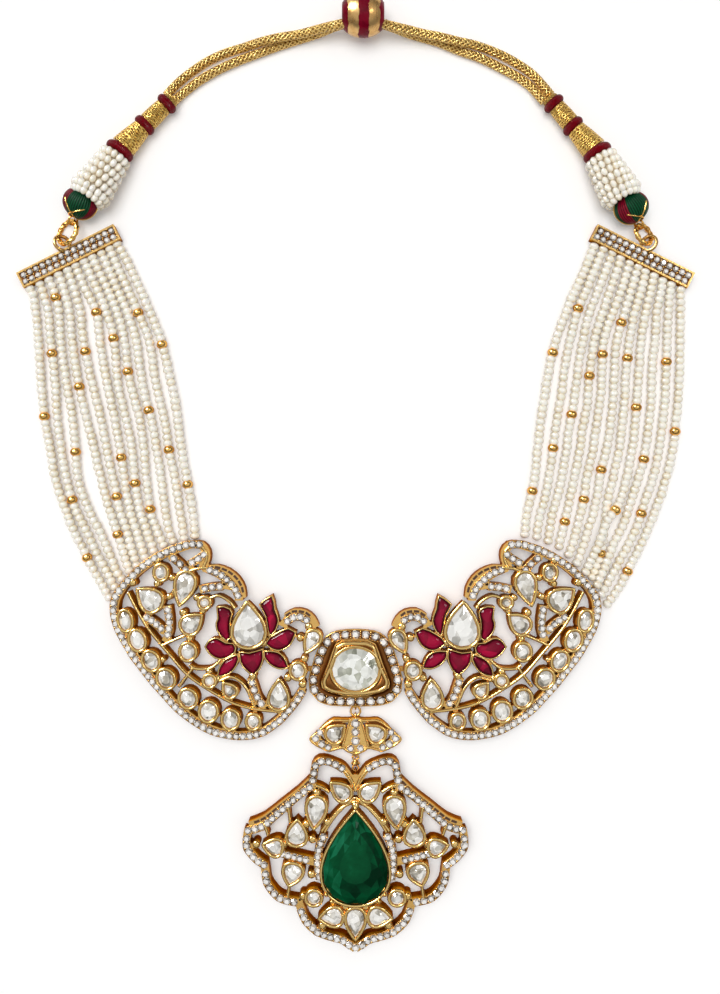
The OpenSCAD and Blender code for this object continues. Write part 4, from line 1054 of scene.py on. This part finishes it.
def add_stone(p, size):
    s = size * random.uniform(1.04, 1.12)
    lean = (random.uniform(-0.06, 0.06), random.uniform(-0.06, 0.06), random.uniform(0, 6))
    stones.append((p + 0.1 * UP, lean, (s, s, s), random.random()))


def add_grain(p, size):
    (grains if p.z > TOP else low_grains).append((p, FLAT, (size, size, size), 0.5))


def pave(path, top):
    """A row of stones over a dark strip of painted shade in their sunk bed, with grains between them and a
    fine rim each side.
    """
    spots = even_walk(path, PITCH)
    for i, (p, way) in enumerate(spots):
        add_stone(p, STONE_D)
        if i + 1 < len(spots):
            middle, side = (p + spots[i + 1][0]) / 2, way.cross(UP)
            for k in (-1, 1):
                beside_it = Vector((middle.x, middle.y, top + 0.1)) + k * 0.41 * STONE_D * side
                add_grain(beside_it, 0.26 * STONE_D)
    first = path[0] + toward(path[1], path[0]) * 0.6
    last = path[-1] + toward(path[-2], path[-1]) * 0.6
    bed = [first] + path + [last]
    bed_shades.flat_shade_strip(bed, 0.9)
    for k in (-0.9, 0.9):
        edges.sweep(shifted(bed, k, top + 0.03), 0.1, sides=6)


def cut_slits(path):
    """A row of slits along a bare wall: dark blocks of painted shade for the shade inside each slit."""
    for p, way in walk(path, SLIT_PITCH, 0.5, 0.3):
        slits.append((p, (0, 0, math.atan2(way.y, way.x)), SLIT_SIZE, 0.5))


def pave_borders():
    """The borders of both plaques and the drop."""
    for mirror in (1, -1):
        for grid, lines in ((PLAQUE, PLAQUE_LINES), (DROP, DROP_LINES)):
            for line in lines:
                pave(path_on(grid, mirror, line, TOP), TOP)
        for grid, walls in ((PLAQUE, PLAQUE_WALLS), (DROP, [DROP_WALL])):
            for wall in walls:
                cut_slits(path_on(grid, mirror, wall, TOP))
    add_stone(point_on(DROP, 1, *DROP_TIP[:2], TOP), DROP_TIP[2])


def pave_bow():
    """The bow's stones, each in a ring of six grains, and strips of painted shade in its hollows."""
    spots = [(1, *spot) for spot in BOW_MIDDLE]
    spots += [(mirror, *spot) for spot in BOW_RIGHT for mirror in (1, -1)]
    for mirror, x, y, size in spots:
        p = point_on(BOW, mirror, x, y, BOW_TOP)
        add_stone(p, size)
        for k in range(6):
            add_grain(p + on_circle(math.pi * (k / 3 + 0.17), 1, 0.1) * (size * 0.56), 0.32)
    for mirror in (1, -1):
        for line in BOW_HOLLOWS:
            bed_shades.flat_shade_strip(path_on(BOW, mirror, line, BOW_TOP), 0.5)


def pave_centre():
    """The centre plaque's ring of stones, on the places of its solids."""
    centres = [middle_of(corners) for corners in islands("centre_small_stones")]
    middle = middle_of(centres)
    centres.sort(key=lambda c: math.atan2(c.y - middle.y, c.x - middle.x))
    ring = [Vector((c.x, c.y, CENTRE_TOP)) for c in centres]
    for i, p in enumerate(ring):
        add_stone(p, 2.05)
        q = ring[(i + 1) % len(ring)]
        between, side = (p + q) / 2, toward(p, q).cross(UP)
        for k, size in ((-0.72, 0.42), (0.72, 0.42), (-0.25, 0.34), (0.25, 0.34)):
            add_grain(between + k * side + 0.12 * UP, size)
    # A dark strip of painted shade under the ring of stones.
    bed_shades.flat_shade_strip(rounded(ring, 4), 1.1, closed=True)
    for by in (-1.12, 1.12):
        low_edges.sweep(rounded(grown(ring, by, CENTRE_TOP + 0.03), 4), 0.14, sides=6, closed=True)


def pave_bar(side):
    """Two rows of small stones in the bed of a spacer bar."""
    along = Vector((-side * math.cos(BAR_TURN), math.sin(BAR_TURN), 0))
    across = Vector((-along.y, along.x, 0))
    home = Vector((-side * BAR_PLACE[0], BAR_PLACE[1], BAR_BED))
    # A dark strip of painted shade along the bar's bed.
    bed_shades.flat_shade_strip([home - along * 13.1, home + along * 13.1], 1.6, 0.06)
    for row in (-1, 1):
        for i in range(BAR_STONES):
            step = (i - (BAR_STONES - 1) / 2) * BAR_PITCH + row * 0.12
            p = home + along * step + across * row * 0.84 + 0.1 * UP
            add_stone(p, BAR_STONE_D)
            for k in (-0.66, 0.0, 0.66):
                add_grain(p + along * (BAR_PITCH / 2) + across * k + 0.16 * UP, 0.34)


def set_small_stones():
    """Makes the pieces out of all that was laid down for the small stones."""
    solids = ["centre_small_stones"]
    set_shapes("border_stones", stones, STONE, small_stones, solids, smooth=False)
    set_shapes("border_grains", grains, GRAIN, gold_rim)
    set_shapes("low_grains", low_grains, GRAIN, wire_gold)
    set_shapes("wall_slits", slits, BLOCK, slit_shade, smooth=False)
    # The dark strips under the stones are painted shade.
    bed_shades.piece("stone_beds", painted_shade_gold, "gold", smooth=False)
    edges.piece("stone_edges", edge_gold, "gold")
    low_edges.piece("centre_edges", wire_gold, "gold")


# Wires laid over the flat ones, and solder dots. Columns: x, y in steps, and a dot's radius in steps.
PLAQUE_WIRES = [
    [(28, 159), (40, 136), (51, 119), (71, 95), (88, 76), (110, 60.5), (134, 47.5), (158, 41.5), (182, 39)],
    [(79, 64), (88, 76), (93, 83)],
    [(109, 152), (118, 155), (125, 152.5), (131, 148), (135, 142)],
    [(90, 86), (95, 82.5), (102, 81.7), (110, 82.5), (116, 86), (121, 91)],
    [(88, 178.5), (98, 182), (109, 183)],
    [(62, 105), (75, 111), (87, 116)],
    [(120, 70), (131, 74), (140, 70), (147, 62), (151, 53), (155, 44)],
    [(103, 183), (106.5, 190), (106.5, 198), (102, 204)],
]
DROP_WIRES = [
    [(34, 122), (24, 135), (13, 146), (0, 152)],
    [(40.5, 168), (34, 166), (26, 161)],
    [(67, 148), (65, 130)],
    [(91, 130), (87, 118)],
    [(66, 68), (68, 54)],
    [(12.5, 184), (7, 178), (3, 171), (0, 162)],
    [(31, 121), (22, 135), (11, 147), (0, 156)],
]
BOW_WIRES = [
    [
        (4, 33), (14.5, 33.4), (22.2, 33.2), (28.8, 29.6), (34.5, 24.8), (39.8, 20.2), (45, 14.7),
        (40.5, 9.7), (34.7, 6.6), (27.2, 3.2), (22.5, 4), (13.8, 6.2), (8, 5),
    ],
    [(5, 35), (8, 26), (11, 15), (12.5, 8), (8, 3), (0, 0)],
]
PLAQUE_DOTS = [
    (33, 168, 4), (57.5, 167, 3.5), (57, 190, 3.5), (69.5, 154, 3.5), (72, 173, 3.5), (97, 153, 3.5),
    (103, 140, 3.5), (83.5, 138, 4), (90, 112, 3.5), (109.5, 79, 3.5), (117, 72, 4), (153, 74.5, 4),
    (188, 73, 4), (200.5, 113, 4), (204.5, 92, 4), (202.6, 66.5, 4), (209, 124, 4), (75, 158, 3.5),
    (124, 98, 4), (164, 108, 4), (63, 91, 3), (47, 145, 3),
]
DROP_DOTS = [
    (28, 131, 4), (38.5, 160, 4), (27, 64, 4.5), (43, 114, 4), (99, 109, 4), (44, 79, 4), (22, 53, 4),
    (10, 47, 4), (12, 37, 4), (52, 57, 4), (72, 109, 4), (49, 129, 4), (6, 152, 4), (33, 28, 4),
]
# A dome's width and height as shares of its dot's width, and the claw over the emerald's top, in mm.
DOME_WIDTH, DOME_RISE = 0.95, 0.62
CLAW_Y, CLAW_Z, CLAW_SIZE = 148.5, 6.1, (1.9, 2.3, 1.5)


def lay_wires():
    """Rounded wires, and a gold dome on each solder dot."""
    wires, bow_wires, domes = Skin(), Skin(), []
    for mirror in (1, -1):
        for skin, grid, lines, radius, z in (
            (wires, PLAQUE, PLAQUE_WIRES, 0.4, TOP),
            (wires, DROP, DROP_WIRES, 0.38, TOP),
            (bow_wires, BOW, BOW_WIRES, 0.34, BOW_TOP),
        ):
            for line in lines:
                skin.sweep(path_on(grid, mirror, line, z), radius)
        for grid, dots in ((PLAQUE, PLAQUE_DOTS), (DROP, DROP_DOTS)):
            for x, y, r in dots:
                d = 2 * r * 0.25 * DOME_WIDTH
                domes.append((point_on(grid, mirror, x, y, TOP), FLAT, (d, d, d * DOME_RISE), 0.5))
    domes.append((point_on(DROP, 1, 0, CLAW_Y, CLAW_Z), FLAT, CLAW_SIZE, 0.5))
    wires.piece("round_wires", gold_rim, "gold")
    bow_wires.piece("bow_wires", wire_gold, "gold")
    set_shapes("solder_domes", domes, GOLD_BALL, gold_rim)


# The right half of the centre plaque's inner wire, in its own steps, and the middle of its stone.
CUSHION = [
    (0, 65.2), (12, 64.5), (19.3, 61), (22.3, 52.7), (25.4, 42.7), (30.2, 31.8), (33.3, 24.3), (32, 18.5),
    (25, 14.5), (11, 11.5), (0, 11),
]
CUSHION_HEART = (0, 37)
# Half widths of the stone's oval collar in mm, and how many pieces each ring has.
COLLAR_X, COLLAR_Y, COLLAR_SIDES = 6.28, 5.78, 96


def reach_along(ring, heart, way):
    """How far a closed ring lies from a point inside it, in a direction."""
    for a, b in zip(ring, ring[1:] + ring[:1]):
        p, q = a - heart, b - heart
        cross = way.x * (q.y - p.y) - way.y * (q.x - p.x)
        if abs(cross) > 1e-9:
            t = (p.x * (q.y - p.y) - p.y * (q.x - p.x)) / cross
            u = (p.x * way.y - p.y * way.x) / cross
            if t > 0 and -1e-6 <= u <= 1 + 1e-6:
                return t


def make_collar():
    """The centre plaque's inner setting: a thick polished wire, the stone's collar, and two thin dark rings
    of painted shade, one over the slope and one round the wire's foot.
    """
    ring = [point_on(CENTRE, 1, x, y, 0) for x, y in CUSHION]
    ring += [point_on(CENTRE, -1, x, y, 0) for x, y in reversed(CUSHION[1:-1])]
    heart = point_on(CENTRE, 1, *CUSHION_HEART, 0)
    inner, outer, foot = [], [], []
    for k in range(COLLAR_SIDES):
        way = on_circle(TURN * k / COLLAR_SIDES)
        oval = 1 / math.sqrt((way.x / COLLAR_X) ** 2 + (way.y / COLLAR_Y) ** 2)
        reach = reach_along(ring, heart, way)
        inner.append(heart + oval * way)
        outer.append(heart + (reach - 0.5) * way)
        foot.append(heart + (reach + 0.95) * way + (CENTRE_TOP + 0.03) * UP)
    collar, band, slope = Skin(), Skin(), Skin()
    collar.sweep([q + 4.8 * UP for q in inner], 0.3, sides=10, closed=True)
    collar.sweep([q + 4.5 * UP for q in outer], 0.56, sides=12, closed=True)
    band.extrude(foot[::-1], [(-1.0, 0.0), (0.55, 0.0), (0.55, 0.04), (-1.0, 0.3)], closed=True)
    for near, far in zip(inner, outer):
        slope.verts += [near + 4.74 * UP, far + 4.74 * UP, far + 4.66 * UP, near + 4.66 * UP]
    slope.grid(4, [0.0] * (COLLAR_SIDES + 1), closed=True, width=0.0)
    collar.piece("centre_collar", gold_rim, "gold")
    # The band and the slope are painted shade.
    band.piece("centre_band", painted_shade_gold, "gold")
    slope.piece("centre_slope", painted_shade_gold, "gold")


# Where the gold balls are on the strings, in pixels of the photograph from its top left.
GOLD_BALLS = {
    "left": [
        (44.3, 418.6), (86, 558.6), (51.5, 352), (71, 498), (57, 300), (74.6, 449), (78.7, 386),
        (117.8, 537), (84, 348.6), (115.5, 496.5), (96.4, 313), (120.8, 456), (114, 340), (134.5, 483),
        (125.8, 369),
        (150.8, 512), (148.5, 409), (137.3, 312), (168.3, 449), (161.6, 344), (187.6, 486),
    ],
    "right": [
        (552.5, 352), (532.7, 491.3), (577.5, 311), (553.3, 448.6), (572, 412.5), (589, 379), (565, 522.5),
        (601.5, 352), (585, 497), (619.5, 325), (600.5, 472.5), (626.8, 360), (602, 554), (636.4, 409),
        (612, 511.5), (643.2, 459.5), (666.8, 359), (642, 513.6), (675.5, 430), (628.5, 570),
    ],
}
# The pixel at x = 0, y = 0 of the part, and a pixel's size in mm.
PIXEL_ZERO, PIXEL = (355.5, 523), 0.252
STRINGS, PEARL_PITCH, PEARL_D = 11, 1.62, 2.5
BALL_SIZE, BALL_Z = (2.75, 2.75, 2.5), 1.38
balls = []


def string_pearl(p, way):
    """One pearl, a little off its place on the string but not below the table."""
    d = PEARL_D * random.uniform(0.96, 1.03)
    jog = Vector((random.uniform(-0.08, 0.08), random.uniform(-0.05, 0.05), random.uniform(-0.02, 0.05)))
    spot = p + jog
    spot.z = max(spot.z, d / 2)
    lean = (way + Vector([random.uniform(-0.12, 0.12) for _ in range(3)])).normalized()
    turn = turn_to(lean, random.uniform(0, 6))
    return spot, turn, (d, d, d * random.uniform(0.9, 1.0)), random.random()


def string_pearls(side):
    """The rows of seed pearls of one side, with their gold balls, along the strings' own solids."""
    nodes = [f"string_{side}_{i}" for i in range(1, STRINGS + 1)]
    lines = {node: smooth_line(string_line(node)) for node in nodes}
    marks = {node: [] for node in nodes}
    for x, y in GOLD_BALLS[side]:
        mark = Vector(((x - PIXEL_ZERO[0]) * PIXEL, (PIXEL_ZERO[1] - y) * PIXEL - SHIFT_Y))
        nearest = min(nodes, key=lambda node: min((p.xy - mark).length for p in lines[node]))
        marks[nearest].append(mark)
    spots, threads = [], Skin()
    for node, line in lines.items():
        threads.sweep(line, 0.35, sides=6)
        for p, way in even_walk(line, PEARL_PITCH):
            clear = min(((p - ball[0]).length for ball in balls), default=math.inf)
            if any((p.xy - mark).length < 0.82 for mark in marks[node]):
                if clear >= 1.9:
                    balls.append((Vector((p.x, p.y, max(p.z, BALL_Z))), turn_to(way), BALL_SIZE, 0.5))
            elif clear >= 1.5:
                spots.append(string_pearl(p, way))
    set_shapes(f"pearls_{side}", spots, PEARL, pearl, nodes)
    threads.piece(f"threads_{side}", string_thread, "pearl")


# The bindings' stops: three thread rings, the sleeve's end and the bead, in pixels right and up.
BINDINGS = {
    "left": [(-188, 417.5), (-210, 396), (-234, 369.5), (-263.5, 323), (-272.5, 317)],
    "right": [(197.5, 417.5), (216.5, 395), (240, 367.5), (263.5, 321.5), (273, 312.5)],
}
# How wide the binding is at each stop, the rings' thickness and the gap beside a ring, in mm.
WIDE = [5.6, 5.8, 7.5, 11.2, 8.8]
RING_T, BIND_GAP = 2.2, 0.12
SLEEVE_ROWS, SLEEVE_PITCH, SLEEVE_PEARL_D = 6, 1.6, 2.26
BEAD_R, BEAD_HALF = 4.4, 3.9


def binding_rings(side, at):
    """Three rings of wound maroon thread."""
    rings, r = Skin(), RING_T / 2
    for i in range(3):
        outer = WIDE[i] / 2
        bend = [on_circle(math.pi * (k / 12 - 0.5), r) for k in range(13)]
        body = [(outer - r + q.x, q.y) for q in bend]
        body = [(outer - RING_T, -0.96 * r)] + body + [(outer - RING_T, 0.96 * r)]
        matrix = frame_at(at[i], toward(at[i], at[i + 1]))
        rings.lathe(matrix, body, 120, lambda u, h: 1 + 0.006 * math.sin(TURN * 60 * u + h))
    rings.piece(f"rings_{side}", maroon, "thread", [f"thread_rings_{side}"])


def binding_windings(side, at):
    """Two cones of gold thread between the rings, and the root that the cords come out of."""
    cones, root = Skin(), Skin()
    start = RING_T / 2 + BIND_GAP - 0.1
    for i, (d0, d1) in enumerate(((4.2, 4.64), (4.64, 6.4))):
        way = toward(at[i], at[i + 1])
        reach = (at[i + 1] - at[i]).length - 2 * start
        body = []
        for k in range(37):
            s = k / 36
            swell = 0.06 * abs(math.sin(math.pi * 9 * s)) + 0.08 * math.sin(math.pi * s)
            body.append(((d0 + s * (d1 - d0)) / 2 + swell, s * reach))
        cones.lathe(frame_at(at[i] + way * start, way), body, 72)
    cones.piece(f"windings_{side}", zari, "gold", [f"gold_winding_{side}"])
    way = toward(at[1], at[0])
    root.lathe(frame_at(at[0] + way * 0.6, way), [(0, 0), (2.1, 0), (2.0, 1.0), (1.3, 1.5), (0, 1.5)])
    root.piece(f"cord_root_{side}", zari, "gold")


def binding_sleeve(side, at):
    """The sleeve's thread core, and rows of pearls round it; the last row is turned inwards."""
    way = toward(at[2], at[3])
    start = RING_T / 2 + BIND_GAP
    reach = (at[3] - at[2]).length - start
    matrix = frame_at(at[2] + way * start, way)
    core = Skin()
    core.lathe(matrix, [(0, 0), (2.9, 0), (4.2, reach - 1.2), (3.6, reach - 0.9), (0, reach - 1.6)])
    core.piece(f"sleeve_core_{side}", sleeve_thread, "pearl")
    # Columns: share of the sleeve's length, how far the pearls' middles lie inside its wide outline.
    rows = [((row + 0.5) / SLEEVE_ROWS, 1.08) for row in range(SLEEVE_ROWS)] + [(1.02, 1.9)]
    spots = []
    for row, (t, inset) in enumerate(rows):
        radius = (8.4 + t * 2.8) / 2 - inset
        count = round(TURN * radius / SLEEVE_PITCH)
        for k in range(count):
            a = TURN * (k + 0.5 * (row % 2)) / count
            p = matrix @ on_circle(a, radius, t * reach)
            tangent = matrix.to_3x3() @ Vector((-math.sin(a), math.cos(a), random.uniform(-0.1, 0.1)))
            d = SLEEVE_PEARL_D * random.uniform(0.96, 1.03)
            spots.append((p, turn_to(tangent, random.uniform(0, 6)), (d, d, d * 0.9), random.random()))
    set_shapes(f"sleeve_{side}", spots, PEARL, pearl, [f"pearl_sleeve_{side}"])


def twisted(u, s):
    """The loop's surface: two strands twisted round each other."""
    return 1 + 0.16 * math.cos(2 * TURN * (u - s / 3.1))


def binding_bead(side, at):
    """The bead wrapped in thread, the wires over it, and the twisted loop on it."""
    bead, wires, twist, middle = Skin(), Skin(), Skin(), at[4]
    loop_mid, loop_axis, loop_r = ring_frame(f"twist_loop_{side}")
    way = toward(middle, loop_mid)
    turns = [math.pi * k / 40 for k in range(41)]
    ball = [(BEAD_R * math.sin(a), -BEAD_HALF * math.cos(a)) for a in turns]
    bead.lathe(frame_at(middle, way), ball, 144, lambda u, h: 1 + 0.008 * math.sin(TURN * 40 * u + 0.3 * h))
    bead.piece(f"bead_{side}", bead_thread, "green_thread", [f"wrapped_bead_{side}"])
    hand = -1 if side == "left" else 1
    across = way.cross(UP).normalized() * hand
    above = (across * hand).cross(way)
    # Columns: a wire's turn round the bead at its start and its end, how far it goes down the bead.
    for turn0, turn1, reach in ((1.0, 2.3, 1.5), (2.5, 0.9, 1.35), (0.25, -0.1, 2.2)):
        path = []
        for k in range(25):
            turn, polar = turn0 + (turn1 - turn0) * k / 24, 0.12 + reach * k / 24
            out = math.cos(turn) * across + math.sin(turn) * above
            rise, spread = (BEAD_HALF + 0.08) * math.cos(polar), (BEAD_R + 0.08) * math.sin(polar)
            path.append(middle + rise * way + spread * out)
        wires.sweep(path, 0.17, sides=6)
    eye = frame_at(loop_mid - (loop_r + 0.25) * way, loop_axis.cross(way))
    wires.sweep(ring_path(eye, 1.2, 32), 0.28, closed=True, up=loop_axis)
    wires.piece(f"bead_wires_{side}", wire_gold, "gold")
    loop = ring_path(frame_at(loop_mid, loop_axis), loop_r, 96)
    twist.sweep(loop, 0.58, sides=16, closed=True, up=loop_axis, shape=twisted)
    twist.piece(f"twist_{side}", wire_gold, "gold", [f"twist_loop_{side}"])


def make_binding(side):
    """One cord end, from its thread rings to its bead and loop."""
    places = zip(BINDINGS[side], WIDE)
    at = [Vector((x * PIXEL, y * PIXEL - SHIFT_Y, wide / 2 + 0.05)) for (x, y), wide in places]
    for make in (binding_rings, binding_windings, binding_sleeve, binding_bead):
        make(side, at)


SLIDER_CENTRE = (1.9, 126.4 - SHIFT_Y, 5.4)
SLIDER_R, SLIDER_HALF, SLIDER_BORE_R = 5.32, 5.95, 2.5


def make_slider():
    """The sliding bead, a ribbed barrel along x."""
    outline = []
    for k in range(49):
        a = math.pi * (0.16 + 0.68 * k / 48)
        rib = 0.05 * abs(math.sin(26 * a))
        outline.append((SLIDER_R * math.sin(a) ** 0.85 + rib, -SLIDER_HALF * math.cos(a)))
    ends = [(SLIDER_BORE_R, height) for _, height in (outline[0], outline[-1])]
    skin = Skin()
    skin.lathe(frame_at(SLIDER_CENTRE, (1, 0, 0)), [ends[0]] + outline + [ends[1]], 72)
    return skin.piece("sliding_bead", slider_finish(), "thread", ["slider_bead"])


def make_floor():
    """The sheet of paper under the necklace, in metres."""
    mesh = bpy.data.meshes.new("floor")
    mesh.from_pydata([(-3, -3, 0), (3, -3, 0), (3, 3, 0), (-3, 3, 0)], [], [(0, 1, 2, 3)])
    mesh.materials.append(floor_finish())
    add_object("floor", mesh)


random.seed(7)
make_camera()
make_lights()
make_sky()
cords = [
    make_cord("outer_cord", CORD_OUTER, "back_cord_outer"),
    make_cord("inner_cord", CORD_INNER, "back_cord_inner"),
]
for material, nodes in DRESSED:
    for node in nodes:
        dress(node, material)
for rim in RIMS:
    stone_rims(*rim)
make_emerald()
for side in ("left", "right"):
    make_petals(f"ruby_petals_{side}", f"petals_{side}")
pave_borders()
pave_bow()
pave_centre()
for side in (-1, 1):
    pave_bar(side)
set_small_stones()
lay_wires()
make_collar()
for side in ("left", "right"):
    string_pearls(side)
set_shapes("gold_balls", balls, GOLD_BALL, wire_gold)
for side in ("left", "right"):
    make_binding(side)
slider_piece = make_slider()
for piece, line, length in cords:
    tuple(line[0] * MM)
    length * MM
    [tuple(p * MM) for p in line]
make_floor()
